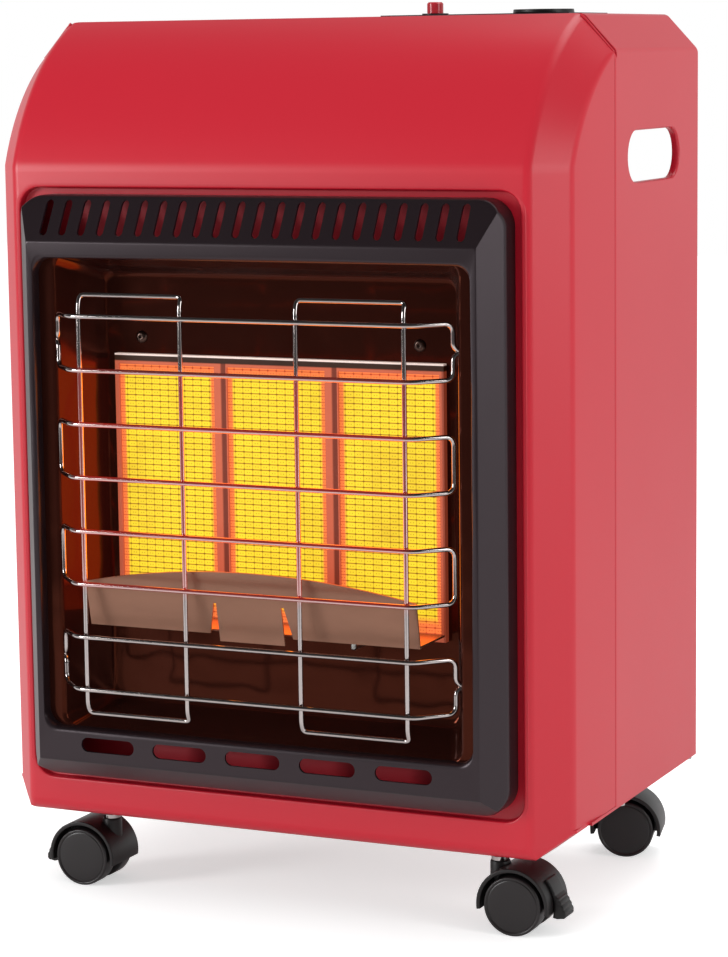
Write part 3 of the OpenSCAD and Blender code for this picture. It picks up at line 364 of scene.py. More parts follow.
class Graph:
    """Short hand for adding and linking nodes in one tree. A value may be a number, a colour of
    three numbers or another node's socket."""

    def __init__(self, tree):
        self.tree = tree

    def put(self, value, socket):
        """Links the value to a socket, or sets it there."""
        if isinstance(value, bpy.types.NodeSocket):
            self.tree.links.new(value, socket)
        else:
            socket.default_value = (*value, 1.0) if socket.type == "RGBA" else value

    def add(self, kind, inputs=None, **settings):
        """New node with its settings and inputs."""
        node = self.tree.nodes.new(kind)
        node.location = (180 * len(self.tree.nodes), 0)
        for key, value in settings.items():
            setattr(node, key, value)
        for key, value in (inputs or {}).items():
            self.put(value, node.inputs[key])
        return node

    def use(self, group, inputs):
        """Outputs of a node group with these inputs."""
        return self.add("ShaderNodeGroup", inputs, node_tree=GROUPS[group]).outputs

    def math(self, op, a, b=None, c=None, clamp=False):
        """One sum of up to three values."""
        inputs = {k: v for k, v in enumerate((a, b, c)) if v is not None}
        return self.add("ShaderNodeMath", inputs, operation=op, use_clamp=clamp).outputs[0]

    def times(self, a, b):
        """Product of two values."""
        return self.math("MULTIPLY", a, b)

    def most(self, first, *others):
        """Highest of several values."""
        for other in others:
            first = self.math("MAXIMUM", first, other)
        return first

    def off(self, value, middle):
        """Distance from the middle: |value - middle|."""
        return self.math("ABSOLUTE", self.math("SUBTRACT", value, middle))

    def length(self, x, z):
        """sqrt(x^2 + z^2)."""
        squares = self.math("ADD", self.math("POWER", x, 2.0), self.math("POWER", z, 2.0))
        return self.math("SQRT", squares)

    def ramp(self, value, start, end, low=0.0, high=1.0, kind="LINEAR"):
        """Carries the value from start to end over to low to high, and holds it beyond them."""
        span = {"Value": value, "From Min": start, "From Max": end, "To Min": low, "To Max": high}
        return self.add("ShaderNodeMapRange", span, interpolation_type=kind).outputs[0]

    def mix(self, factor, a, b):
        """Colour between a and b."""
        return self.add("ShaderNodeMix", {0: factor, 6: a, 7: b}, data_type="RGBA").outputs[2]

    def place(self):
        """Object coordinates of the point that is shaded."""
        return self.add("ShaderNodeTexCoord").outputs["Object"]

    def split(self, vector):
        """The X, Y and Z of a vector."""
        return self.add("ShaderNodeSeparateXYZ", {"Vector": vector}).outputs

    def noise(self, place, scale, detail=2.0):
        """Soft noise between 0 and 1."""
        inputs = {"Vector": place, "Scale": scale, "Detail": detail}
        return self.add("ShaderNodeTexNoise", inputs).outputs["Fac"]

    def light_path(self):
        """Kinds of ray that meet the surface."""
        return self.add("ShaderNodeLightPath").outputs


def new_group(name, inputs, outputs):
    """Shader node group with inputs as (name, kind, default) and outputs as (name, kind). Returns
    its graph, what comes in and where the results go."""
    tree = bpy.data.node_groups.new(name, "ShaderNodeTree")
    for label, kind, default in inputs:
        socket = tree.interface.new_socket(name=label, in_out="INPUT", socket_type=kind)
        socket.default_value = default
    for label, kind in outputs:
        tree.interface.new_socket(name=label, in_out="OUTPUT", socket_type=kind)
    GROUPS[name] = tree
    g = Graph(tree)
    return g, g.add("NodeGroupInput").outputs, g.add("NodeGroupOutput").inputs


def build_skin_group():
    """Sprayed or moulded skin: a fine relief, broad gloss changes and a faint colour drift."""
    g, given, result = new_group(
        "skin",
        [("Fine Scale", NUMBER, 1400.0), ("Broad Scale", NUMBER, 9.0), ("Gloss", NUMBER, 0.35),
         ("Gloss Drift", NUMBER, 0.06), ("Colour", COLOUR, (0.5, 0.5, 0.5, 1)),
         ("Colour Drift", NUMBER, 0.06)],
        [("Height", NUMBER), ("Roughness", NUMBER), ("Colour", COLOUR)])
    place = g.place()
    broad = g.noise(place, given["Broad Scale"], 3.0)
    drift = g.math("SUBTRACT", broad, 0.5)
    darker = g.add("ShaderNodeHueSaturation", {"Color": given["Colour"], "Value": 0.82})
    amount = g.times(broad, given["Colour Drift"])
    g.put(g.noise(place, given["Fine Scale"]), result["Height"])
    g.put(g.math("MULTIPLY_ADD", drift, given["Gloss Drift"], given["Gloss"]), result["Roughness"])
    g.put(g.mix(amount, given["Colour"], darker.outputs["Color"]), result["Colour"])


def build_brush_group():
    """Rolled or brushed metal: long fine streaks along one direction."""
    g, given, result = new_group(
        "brushing",
        [("Stretch", VECTOR, (20.0, 900.0, 900.0)), ("Gloss", NUMBER, 0.3),
         ("Gloss Drift", NUMBER, 0.15)],
        [("Height", NUMBER), ("Roughness", NUMBER), ("Mask", NUMBER)])
    scaled = g.add("ShaderNodeVectorMath", {0: g.place(), 1: given["Stretch"]},
                   operation="MULTIPLY")
    streak = g.noise(scaled.outputs[0], 1.0, 4.0)
    drift = g.math("SUBTRACT", streak, 0.5)
    g.put(streak, result["Height"])
    g.put(streak, result["Mask"])
    g.put(g.math("MULTIPLY_ADD", drift, given["Gloss Drift"], given["Gloss"]), result["Roughness"])


def build_cell_group():
    """Perforated ceramic: rows of oblong cells, each with two flame holes, as masks of the walls
    and holes and one chance value for each cell."""
    hole_out, aspect = 0.15, 1.45       # a hole's place from the cell's middle; width over height
    g, given, result = new_group(
        "burner cells",
        [("Cell Width", NUMBER, 0.0056), ("Cell Height", NUMBER, 0.0042)],
        [("Wall", NUMBER), ("Hole", NUMBER), ("Flicker", NUMBER)])
    xyz = g.split(g.place())
    u = g.math("DIVIDE", xyz["X"], given["Cell Width"])
    v = g.math("DIVIDE", xyz["Z"], given["Cell Height"])
    # distance from the middle of the cell, as shares of its width and height
    du = g.off(g.math("FRACT", g.math("ADD", u, 100.0)), 0.5)
    dv = g.off(g.math("FRACT", v), 0.5)
    # thin walls between the cells: dark level lines, fainter upright ones
    upright = g.ramp(du, 0.43, 0.485, kind="SMOOTHSTEP")
    level = g.ramp(dv, 0.37, 0.46, kind="SMOOTHSTEP")
    g.put(g.most(g.times(upright, 0.62), level), result["Wall"])
    # two flame holes in each cell, and a darker dot where the walls cross
    from_hole = g.length(g.times(g.math("SUBTRACT", du, hole_out), aspect), dv)
    from_knot = g.length(g.times(g.math("SUBTRACT", 0.5, du), aspect),
                         g.math("SUBTRACT", 0.5, dv))
    hole = g.ramp(from_hole, 0.13, 0.05, high=0.8, kind="SMOOTHSTEP")
    knot = g.ramp(from_knot, 0.22, 0.1, kind="SMOOTHSTEP")
    g.put(g.most(hole, knot), result["Hole"])
    cell = g.add("ShaderNodeCombineXYZ", {"X": g.math("FLOOR", u), "Y": g.math("FLOOR", v)})
    chance = g.add("ShaderNodeTexWhiteNoise", {"Vector": cell.outputs[0]}, noise_dimensions="3D")
    g.put(chance.outputs["Value"], result["Flicker"])


def blank_tree(owner):
    """Graph of a material's or world's own nodes, emptied."""
    owner.use_nodes = True
    owner.node_tree.nodes.clear()
    return Graph(owner.node_tree)


def surface(name, base, **sockets):
    """New finish with one Principled shader, whose fixed numbers are set on its own sockets."""
    FINISH[name] = mat = bpy.data.materials.new(name)
    g = blank_tree(mat)
    fixed = {key.replace("_", " "): value for key, value in sockets.items()}
    shader = g.add("ShaderNodeBsdfPrincipled", {"Base Color": base, **fixed})
    g.add("ShaderNodeOutputMaterial", {"Surface": shader.outputs[0]})
    return g, shader.inputs


def relief(g, shader, height, strength, distance):
    """Small hills and dents of the surface, from a height that changes over it."""
    bump = g.add("ShaderNodeBump", {"Height": height, "Strength": strength, "Distance": distance})
    g.put(bump.outputs[0], shader["Normal"])


def coated(name, colour, gloss, fine=1400.0, depth=0.00002, drift=0.06, colour_drift=0.25,
           bounce=None, **sockets):
    """Paint, enamel or plastic: the skin group drives colour, roughness and relief. A bounce
    colour stands in for the paint where its light falls on other things."""
    g, shader = surface(name, colour, **sockets)
    skin = g.use("skin", {"Colour": colour, "Gloss": gloss, "Gloss Drift": drift,
                          "Fine Scale": fine, "Colour Drift": colour_drift})
    tone = skin["Colour"]
    if bounce:
        tone = g.mix(g.light_path()["Is Diffuse Ray"], tone, bounce)
    g.put(tone, shader["Base Color"])
    g.put(skin["Roughness"], shader["Roughness"])
    relief(g, shader, skin["Height"], 0.5, depth)


def metal(name, colour, gloss, stretch, drift=0.15, depth=0.00001, metallic=1.0, glow_painted=False):
    """Brushed or drawn metal; one with a burnt or sooted skin takes a smaller metallic share."""
    g, shader = surface(name, colour, Metallic=metallic)
    brush = g.use("brushing", {"Stretch": stretch, "Gloss": gloss, "Gloss Drift": drift})
    worn = tuple(c * 0.55 for c in colour)
    g.put(g.mix(g.times(brush["Mask"], 0.35), colour, worn), shader["Base Color"])
    g.put(brush["Roughness"], shader["Roughness"])
    relief(g, shader, brush["Height"], 0.4, depth)
    # painted glow on the wires where they cross the plaques
    if glow_painted:
        paint_glow_on_wires(g, shader)


def paint_glow_on_wires(g, shader):
    """Painted glow: gives the wires a dull red light of their own, in flecks, where they cross the
    plaques.
    """
    foot_unlit, top_unlit = 0.03, 0.004       # parts of the frame with no glow behind the wires
    fade_out, fade_in = 0.004, 0.006        # where the painted glow ends and is full, about the rest
    place = g.place()
    xyz = g.split(place)
    lo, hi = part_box("burner_frame")
    masks = []
    for axis, low, high in (("X", lo[0], hi[0]), ("Z", lo[2] + foot_unlit, hi[2] - top_unlit)):
        half, off = (high - low) / 2, g.off(xyz[axis], (low + high) / 2)
        masks.append(g.ramp(off, half + fade_out, half - fade_in))
    flecks = g.math("MULTIPLY_ADD", g.noise(place, 90.0), 0.7, 0.6)
    # painted glow: where the wires cross the plaques, broken into flecks
    heat = g.times(g.times(*masks), flecks)
    g.put(g.mix(heat, BLACK, (0.24, 0.006, 0.002)), shader["Emission Color"])
    g.put(1.0, shader["Emission Strength"])


def plaque_spans():
    """Lowest and highest x of the three plaques."""
    return [(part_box(name)[0][0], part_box(name)[1][0]) for name in PLAQUES]


def glowing_ceramic(name, sizes, hot, warm, deep):
    """Ceramic plaque at work: yellow cells, fine darker walls with holes, and a cooler orange rim
    on the side that meets the frame."""
    # where the rim starts and where it is full, from the sides, the top and the foot
    (rim_in, rim_out), (top_in, top_out), (foot_in, foot_out) = (
        (0.0060, 0.0042), (0.0075, 0.0055), (0.0135, 0.0075))
    orange, ember, unlit = (1.0, 0.155, 0.06), (0.42, 0.012, 0.004), (0.02, 0.01, 0.0)
    g, shader = surface(name, (0.9, 0.6, 0.3), Roughness=0.9, Emission_Strength=1.0)
    cells = g.use("burner cells", {"Cell Width": sizes.cell_width,
                                   "Cell Height": sizes.cell_height})
    place = g.place()
    xyz = g.split(place)
    amber = g.mix(g.times(cells["Wall"], 0.95), hot, warm)
    holed = g.mix(g.times(cells["Hole"], 0.75), amber, deep)
    # cooler rim: the outermost columns and rows of each plaque
    rims = []
    for low, high in plaque_spans():
        half, off = (high - low) / 2, g.off(xyz["X"], (low + high) / 2)
        inside = g.math("LESS_THAN", off, half + MM)
        rims.append(g.times(inside, g.ramp(off, half - rim_in, half - rim_out)))
    lo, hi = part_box("plaque_centre")
    top = g.ramp(xyz["Z"], hi[2] - top_in, hi[2] - top_out)
    foot = g.ramp(xyz["Z"], lo[2] + foot_in, lo[2] + foot_out)
    rim = g.times(g.most(*rims, top, foot), 0.9)
    spots = g.most(g.times(cells["Wall"], 0.6), cells["Hole"])
    cooled = g.mix(rim, holed, g.mix(g.times(spots, 0.85), orange, ember))
    # slow clouds, and a slight change from cell to cell
    cloud = g.math("SUBTRACT", g.noise(place, 26.0), 0.5, clamp=True)
    varied = g.mix(g.times(cloud, 0.9), cooled, warm)
    light = g.mix(g.times(cells["Flicker"], 0.12), varied, warm)
    g.put(light, shader["Emission Color"])
    g.put(g.mix(0.85, light, unlit), shader["Base Color"])
    relief(g, shader, cells["Hole"], 0.6, -0.0004)


def frame_with_painted_light(name):
    """Burner frame close to the glow: tan steel that turns salmon beside the plaques. Painted light
    on
    it: a painted glow of the plaques' light, painted shade on the right part of every bar, a dark
    band of painted reflection along the top and a painted highlight on the turned edge above it."""
    lap = 0.0016            # how far the frame covers the plaques' edges
    shade_from, blur = 0.56, 0.0006         # where each bar's painted shade starts, and how softly
    # where the dark band of painted reflection above the plaques and the painted highlight on the
    # turned edge below the top start and are full
    (band_in, band_out), (highlight_in, highlight_out) = (0.0018, 0.0026), (0.0013, 0.0009)
    g, shader = surface(name, (0.4, 0.2, 0.15), Roughness=0.42, Emission_Strength=1.0,
                        Specular_IOR_Level=0.25)
    place = g.place()
    xyz = g.split(place)
    left, centre, right = plaque_spans()
    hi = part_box("burner_frame")[1]
    # painted shade on the right part of every bar
    shaded = []
    for low, high in ((left[1], centre[0]), (centre[1], right[0]), (right[1] - lap, hi[0])):
        start = low + (high - low) * shade_from
        on = g.ramp(xyz["X"], start - blur, start + blur)
        shaded.append(g.times(on, g.math("LESS_THAN", xyz["X"], high + 0.0008)))
    dark = g.most(shaded[0], shaded[1], g.times(shaded[2], 0.7))
    band_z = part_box("plaque_centre")[1][2] - lap
    band = g.ramp(xyz["Z"], band_z + band_in, band_z + band_out)
    # painted highlight along the turned edge below the top
    edge = g.ramp(xyz["Z"], hi[2] - highlight_in, hi[2] - highlight_out)
    cloud = g.times(g.noise(place, 60.0, 3.0), 0.3)
    salmon = g.mix(cloud, (0.42, 0.10, 0.05), (0.28, 0.09, 0.045))
    # base colour, then emission: plain, painted shade, painted dark reflection and painted
    # highlight; the emission is painted glow from the plaques' light
    for socket, plain, shade, top, lip in (
            ("Base Color", salmon, (0.10, 0.022, 0.012), (0.035, 0.014, 0.006),
             (0.75, 0.66, 0.62)),
            ("Emission Color", (0.26, 0.045, 0.02), (0.11, 0.015, 0.006), (0.006, 0.001, 0.0),
             (0.30, 0.22, 0.19))):
        tone = g.mix(edge, g.mix(band, g.mix(dark, plain, shade), top), lip)
        g.put(tone, shader[socket])


def build_finishes(colours, sizes):
    """Every finish of the heater, by its plain name."""
    build_skin_group()
    build_brush_group()
    build_cell_group()
    coated("red paint", tuple(colours.body_colour), 0.36, fine=900.0, drift=0.04,
           colour_drift=0.12, bounce=(0.22, 0.06, 0.06), Specular_IOR_Level=0.5)
    coated("dark paint", tuple(colours.bezel_colour), 0.33, fine=1600.0,
           Specular_IOR_Level=0.46, Specular_Tint=(1.0, 0.86, 0.93))
    # red tint of the reflections: a painted reflection of the fire's light in the firebox
    coated("black enamel", (0.02, 0.005, 0.0035), 0.12, fine=16.0, depth=0.004, drift=0.05,
           Specular_IOR_Level=0.42, Specular_Tint=(1.0, 0.22, 0.1))
    coated("moulded nylon", (0.0075, 0.0058, 0.006), 0.42, fine=2200.0, depth=0.00003,
           Specular_IOR_Level=0.45)
    coated("wheel nylon", (0.0115, 0.0085, 0.009), 0.36, fine=2200.0, depth=0.00003,
           Specular_IOR_Level=0.5)
    coated("red plastic", (0.5, 0.02, 0.03), 0.22)
    coated("fired ceramic", (0.75, 0.72, 0.66), 0.6, fine=1200.0, depth=0.00004)
    metal("stainless sheet", (0.44, 0.41, 0.37), 0.34, (18.0, 700.0, 700.0))
    metal("taupe sheet", (0.29, 0.145, 0.095), 0.36, (34.0, 190.0, 70.0), drift=0.25,
          metallic=0.65)
    metal("zinc plated steel", (0.5, 0.5, 0.48), 0.38, (120.0, 120.0, 120.0))
    metal("sooted plated steel", (0.09, 0.06, 0.05), 0.3, (120.0, 120.0, 120.0))
    # the wires get a painted red glow where they cross the plaques
    metal("bright chrome wire", (0.56, 0.51, 0.50), 0.10, (400.0, 400.0, 400.0), drift=0.06,
          depth=0.000004, glow_painted=True)
    metal("turned brass", (0.72, 0.5, 0.2), 0.3, (300.0, 300.0, 300.0))
    frame_with_painted_light("heat tinted frame with painted light")
    glowing_ceramic("glowing ceramic", sizes, tuple(colours.glow_hot), tuple(colours.glow_warm),
                    tuple(colours.glow_deep))


# ---- properties ----------------------------------------------------------------

LENGTH = {"subtype": "DISTANCE", "unit": "LENGTH"}
PAINT = {"subtype": "COLOR", "size": 3, "min": 0, "max": 1}


class HeaterSizes(bpy.types.PropertyGroup):
    """Sizes in metres that a user may change"""

    edge_round: bpy.props.FloatProperty(
        name="Edge rounding", description="Radius of the folded sheet's outer edges",
        default=0.0035, min=0.0005, max=0.008, **LENGTH)
    sheet: bpy.props.FloatProperty(
        name="Sheet", description="Thickness of the painted steel",
        default=0.0012, min=0.0008, max=0.002, **LENGTH)
    bezel_wall: bpy.props.FloatProperty(
        name="Bezel wall", description="Thickness of the bezel",
        default=0.002, min=0.001, max=0.003, **LENGTH)
    wire_bend: bpy.props.FloatProperty(
        name="Wire bend", description="Setback of each bend in the guard wires",
        default=0.006, min=0.002, max=0.012, **LENGTH)
    cell_width: bpy.props.FloatProperty(
        name="Cell width", description="Spacing of the burner's cells across",
        default=0.0062, min=0.003, max=0.01, **LENGTH)
    cell_height: bpy.props.FloatProperty(
        name="Cell height", description="Spacing of the burner's cells upwards",
        default=0.0039, min=0.002, max=0.01, **LENGTH)


class HeaterColours(bpy.types.PropertyGroup):
    """Paints and glow colours that a user may change"""

    body_colour: bpy.props.FloatVectorProperty(
        name="Body", description="Paint of the cabinet", default=(0.545, 0.0085, 0.0245), **PAINT)
    bezel_colour: bpy.props.FloatVectorProperty(
        name="Bezel", description="Paint of the bezel", default=(0.0125, 0.0072, 0.009), **PAINT)
    glow_hot: bpy.props.FloatVectorProperty(
        name="Glow, hot", description="Light of the burner's cells",
        default=(1.0, 0.74, 0.028), **PAINT)
    glow_warm: bpy.props.FloatVectorProperty(
        name="Glow, warm", description="Colour of the walls between cells",
        default=(0.36, 0.14, 0.008), **PAINT)
    glow_deep: bpy.props.FloatVectorProperty(
        name="Glow, deep", description="Light inside the flame holes",
        default=(0.16, 0.075, 0.004), **PAINT)


# ---- front shell ---------------------------------------------------------------

BROW_RADIUS = 0.159
BROW_Z = BASE_Z + 0.424             # lower end of the curved brow
BROW_TOP_BACK = 0.089               # its upper end, behind the face
CREASE_IN, CREASE_OUT = 0.1847, 0.2058      # x of the bevel's two edges
BEVEL_DEEP = 0.022                  # depth of the bevel
TOP_CREASE = HALF_W - 0.0228        # x of the inner crease at the top
FOOT_ROLL = 0.010                   # radius of the rolled foot
FOOT_BACK = FACE_Y + 0.040          # how far the foot's sides reach back
CORNER_Z = BASE_Z - 0.002           # foot of the bevelled corners
LIP_R = 0.0009                      # turned edge at the seam's cut corners
LIP_TOP_IN, LIP_FOOT_DOWN = 0.0222, 0.0246
# Half width, foot, top and corner radius in millimetres of the window and of the hole in its floor
WINDOW = (180.0, 7.5, 410.5, 14.0)
INNER_WINDOW = (166, 46, 372, 12)
WINDOW_DEEP = 0.006
CUT_REACH = 0.02                    # how far the window's cutter reaches before and behind the face


def brow_arc():
    """Centre (y, z) of the circle that carries the curved brow, from its two ends: off the middle
    of the chord by sqrt(r^2 - c^2 / 4)."""
    low, high = np.array([FACE_Y, BROW_Z]), np.array([FACE_Y + BROW_TOP_BACK, TOP_Z])
    mid, run = (low + high) / 2, np.linalg.norm(high - low)
    square = np.array([high[1] - low[1], -(high[0] - low[0])]) / run
    return mid + square * math.sqrt(BROW_RADIUS**2 - run**2 / 4)


def sections(*corners):
    """Rows of control points from corners (x, y, z), as arrays over the rows or plain numbers."""
    return np.stack([np.stack(np.broadcast_arrays(*corner), -1) for corner in corners], 1)


def fillet_rows(control, setback):
    """Rows of four control points become rows of curve points: the two inner corners are bent, and
    the first and last leg are divided evenly."""
    a, b, c, d = (control[:, k] for k in range(4))
    one = bend(a, b, c, setback, 6, 0.45)
    two = bend(b, c, d, setback, 6, 0.45)
    t0 = np.linspace(0, 1, 9, endpoint=False)[None, :, None]
    t1 = np.linspace(0, 1, 5)[None, 1:, None]
    first = a[:, None] * (1 - t0) + one[:, :1] * t0
    last = two[:, -1:] * (1 - t1) + d[:, None] * t1
    return np.concatenate([first, one, two, last], 1)


def shell_skin(props):
    """Outer skin: rows from the rolled foot up to the seam along the brow, each row a section with
    a filleted crease at the bevel's two edges, mirrored about the middle. The sides spread a little
    towards the seam, and the inner crease moves out as the brow rises."""
    cy, cz = brow_arc()
    big, small = BROW_RADIUS, BROW_RADIUS - BEVEL_DEEP
    side_y = cy - math.sqrt(small**2 - (BROW_Z - cz) ** 2)
    back = SHELL_BACK_Y

    def flare(y):
        return CREASE_OUT + (HALF_W - CREASE_OUT) * np.clip((y - side_y) / (back - side_y), 0, 1)

    # foot: the roll runs from straight down to straight back
    a = np.linspace(math.pi / 2, 0, 8)
    foot_z = SKIRT_Z + FOOT_ROLL - FOOT_ROLL * np.sin(a)
    foot_y = FACE_Y + FOOT_ROLL - FOOT_ROLL * np.cos(a)
    drop = np.clip((CORNER_Z - foot_z) / (CORNER_Z - SKIRT_Z), 0, 1)
    foot_x = CREASE_OUT - drop * (CREASE_OUT - CREASE_IN)
    bevel_y = FACE_Y + (foot_x - CREASE_IN) / (CREASE_OUT - CREASE_IN) * (side_y - FACE_Y)
    foot_b = np.maximum(bevel_y, foot_y)
    foot_s = np.maximum(FOOT_BACK, foot_b)
    foot = sections((0.0, foot_y, foot_z), (np.minimum(CREASE_IN, foot_x), foot_y, foot_z),
                    (foot_x, foot_b, foot_z),
                    (foot_x + flare(foot_s) - CREASE_OUT, foot_s, foot_z))
    # wall: level sections up to the brow, closer together at both ends
    z = np.array([CORNER_Z, BASE_Z + 0.001, BASE_Z + 0.006, BASE_Z + 0.02,
                  *np.linspace(BASE_Z + 0.05, BROW_Z - 0.012, 12), BROW_Z - 0.004])
    z = z[z > foot_z.max() + 1e-4]
    reach = np.where(z < BASE_Z + 0.0005, FOOT_BACK, back)
    wall = sections((0.0, FACE_Y, z), (CREASE_IN, FACE_Y, z), (CREASE_OUT, side_y, z),
                    (flare(reach), reach, z))
    # brow: both creases follow circles about one centre
    t = np.concatenate([[0.0, 0.03], np.linspace(0, 1, 22)[1:]])

    def arc(radius):
        low, high = math.asin((BROW_Z - cz) / radius), math.acos((cy - back) / radius)
        angle = low + (high - low) * t
        return cy - radius * np.cos(angle), cz + radius * np.sin(angle)

    (py, pz), (qy, qz) = arc(big), arc(small)
    brow = sections((0.0, py, pz), (CREASE_IN + (TOP_CREASE - CREASE_IN) * t**1.5, py, pz),
                    (flare(qy), qy, qz), (HALF_W, back, qz))
    half = fillet_rows(np.concatenate([foot, wall, brow]), props.edge_round * 1.1)
    left = half[:, ::-1] * np.array([-1, 1, 1])
    return np.concatenate([left[:, :-1], half], 1)


class HEATER_OT_front_shell(bpy.types.Operator):
    """Front shell with its curved brow, bevelled corners, rolled foot and recessed window"""

    bl_idname = "heater.front_shell"
    bl_label = "Front shell"

    def execute(self, context):
        props = context.scene.heater_sizes
        skin = mesh_piece("front_shell_skin", [(shell_skin(props), False, False)], SHELL_WELD)
        add_wall(skin, props.sheet)
        hole = loop_at(rect_loop(*grown(WINDOW, 2.5)), 0.0)[:, ::2]
        cut(skin, prism_mesh("window_cutter", [hole], FACE_Y - CUT_REACH, FACE_Y + CUT_REACH))
        even_shading(skin, 28)
        finish_piece(skin, "red paint", "cabinet", "red_paint", "front_shell")
        # turned edge of the shell at the seam's two cut corners
        lips, y, along = [], SHELL_BACK_Y - LIP_R, np.linspace(0, 1, 12)[:, None]
        for side in (-1, 1):
            top = np.array([side * (HALF_W - LIP_TOP_IN), y, TOP_Z - LIP_R])
            low = np.array([side * (HALF_W - LIP_R), y, TOP_Z - LIP_FOOT_DOWN])
            lips.append(tube("lip", top + (low - top) * along, LIP_R, closed=False))
        lip = join(lips, "shell_lips")
        smooth(lip, 60)
        finish_piece(lip, "red paint", "cabinet", "red_paint")
        # recess of the window: over a rolled edge, back along its side and in along its floor
        edge, floor = rect_loop(*WINDOW), rect_loop(*INNER_WINDOW)
        window = [
            loop_at(rect_loop(*grown(WINDOW, 3.5)), FACE_Y + 0.0003),
            loop_at(rect_loop(*grown(WINDOW, 3.2)), FACE_Y - 0.00002),
            loop_at(edge, FACE_Y), loop_at(edge, FACE_Y + WINDOW_DEEP),
            loop_at(floor, FACE_Y + WINDOW_DEEP), loop_at(floor, FACE_Y + WINDOW_DEEP + 0.0012)]
        grid = profile_ring(window, [0, 0, 0.0028, 0.0012, 0.0004, 0])
        recess = mesh_piece("window_recess", [(grid, True, False)])
        smooth(recess, 35)
        finish_piece(recess, "red paint", "cabinet", "red_paint")
        return {"FINISHED"}


# ---- rear cabinet --------------------------------------------------------------

CORNER_IN, CORNER_DOWN = 0.0225, 0.0242     # the cut corners' run along the top and down the side
MITRE = 0.414                               # tangent of 22.5 degrees
CORNER_ROUND = 0.0028
SEAM_GAP = 0.0032                           # gap behind the shell at the cut corners
FLANGE = 0.012
SLOT_Y, SLOT_Z = SEAM_Y + 0.077, BASE_Z + 0.427     # middle of the carrying slots
SLOT_CUT = (0.1056, 0.0361)                 # length and height as cut
SLOT_LIP = (0.1044, 0.0349)                 # the same inside the lip
# Lip round a slot, as (how much larger than the slot, depth) from its outer edge inwards
LIP_PROFILE = ((0.0012, 0.00002), (0.0002, 0.0001), (-0.0004, 0.0007), (-0.0006, 0.002),
               (-0.0006, 0.0052), (0.0006, 0.0052), (0.0006, 0.001))
KNOB_HOLE_R, BUTTON_HOLE_R = 0.028, 0.0092


def cabinet_outline(inset, y, notch):
    """Half open outline of the cabinet's section at y, from the left foot over the top to the
    right foot, drawn in by the inset; its two top corners are cut, deeper by the notch."""
    h, top = HALF_W - inset, TOP_Z - inset
    c = HALF_W - CORNER_IN - MITRE * inset - notch
    low = TOP_Z - CORNER_DOWN - MITRE * inset - notch
    points = [[-h, y, BASE_Z], [-h, y, low], [-c, y, top], [c, y, top], [h, y, low], [h, y, BASE_Z]]
    return rounded_path(points, CORNER_ROUND, 7, closed=False)


class HEATER_OT_rear_cabinet(bpy.types.Operator):
    """Rear cabinet with turned flanges and a lipped carrying slot in each side"""

    bl_idname = "heater.rear_cabinet"
    bl_label = "Rear cabinet"

    def execute(self, context):
        y0, y1, gap = SEAM_Y, REAR_Y, SEAM_GAP
        # (inset, depth, notch) from the front flange over the gap and back to the rear flange
        stations = (
            (FLANGE, y0, gap), (0.0012, y0, gap), (0.0003, y0 + 0.0003, gap),
            (0.0, y0 + 0.0012, gap), (0.0, y0 + 0.0034, gap), (0.0, y0 + 0.0038, 0.0004),
            (0.0, y0 + 0.0046, 0.0), (0.0, y1 - 0.003, 0.0), (0.0004, y1 - 0.0014, 0.0),
            (0.0014, y1 - 0.0004, 0.0), (0.003, y1, 0.0), (FLANGE, y1, 0.0))
        rows = np.stack([cabinet_outline(*station) for station in stations])
        skin = mesh_piece("rear_cabinet_skin", [(rows, False, False)])
        add_wall(skin, context.scene.heater_sizes.sheet)
        # carrying slots through both sides
        across = Matrix.Translation((0, SLOT_Y, SLOT_Z)) @ Matrix.Rotation(math.pi / 2, 4, "Z")
        cut(skin, prism_mesh("slot_cutter", [stadium_loop(*SLOT_CUT)], -0.3, 0.3, across))
        # openings in the top for the knob's well and the igniter
        a = np.linspace(0, FULL_TURN, 64, endpoint=False)
        circle = np.stack([np.cos(a), np.sin(a)], -1)
        for node, r in (("control_knob", KNOB_HOLE_R), ("igniter_button", BUTTON_HOLE_R)):
            x, y, _ = middle_of(node)
            upright = Matrix.Translation((x, y, TOP_Z)) @ Matrix.Rotation(math.pi / 2, 4, "X")
            cut(skin, prism_mesh("round_cutter", [r * circle], -0.01, 0.01, upright))
        even_shading(skin, 28)
        finish_piece(skin, "red paint", "cabinet", "red_paint", "rear_cabinet")
        # lips round the slots: a rolled edge that runs inwards
        lips = []
        for side in (-1, 1):
            rings = []
            for grow, depth in LIP_PROFILE:
                s = stadium_loop(SLOT_LIP[0] + 2 * grow, SLOT_LIP[1] + 2 * grow)
                x = np.full(len(s), side * (HALF_W - depth))
                rings.append(np.column_stack([x, SLOT_Y + s[:, 0], SLOT_Z + s[:, 1]]))
            lips.append((np.stack(rings), False, True))
        lip = mesh_piece("slot_lips", lips, FINE_WELD)
        smooth(lip, 40)
        finish_piece(lip, "red paint", "cabinet", "red_paint")
        return {"FINISHED"}


# ---- bezel ---------------------------------------------------------------------

# Half width, foot and top in millimetres of the bezel's outline and of its ridge, and how far each
# stands out from the face
BEZEL_EDGE, EDGE_HIGH = (174.0, 13.0, 406.0), 10
BEZEL_RIDGE, RIDGE_HIGH = (160.5, 27.0, 376.0), 27
EDGE_R, RIDGE_R = 18.0, 0.8
MOUTH = (156, 49.5, 365, [12, 12, 11, 11])      # half width, foot, top and corner radii
SKIRT_BACK = 0.0058                 # how far the outline's edge reaches behind the face
MOUTH_FRONT, MOUTH_BACK = 0.0268, 0.018         # how far the mouth's two edges stand out
ARC_STEPS, SIDE_STEPS = 7, 24       # points of half a corner's arc, parts of a side
LOUVRES, LOUVRE_PITCH, LOUVRE_Z = 22, 0.0142, BASE_Z + 0.3915
AIR_SLOTS, AIR_SLOT_PITCH, AIR_SLOT_Z = 5, 0.054, BASE_Z + 0.039
LOUVRE, AIR_SLOT = (0.023, 0.0056), (0.040, 0.0098)     # length and height


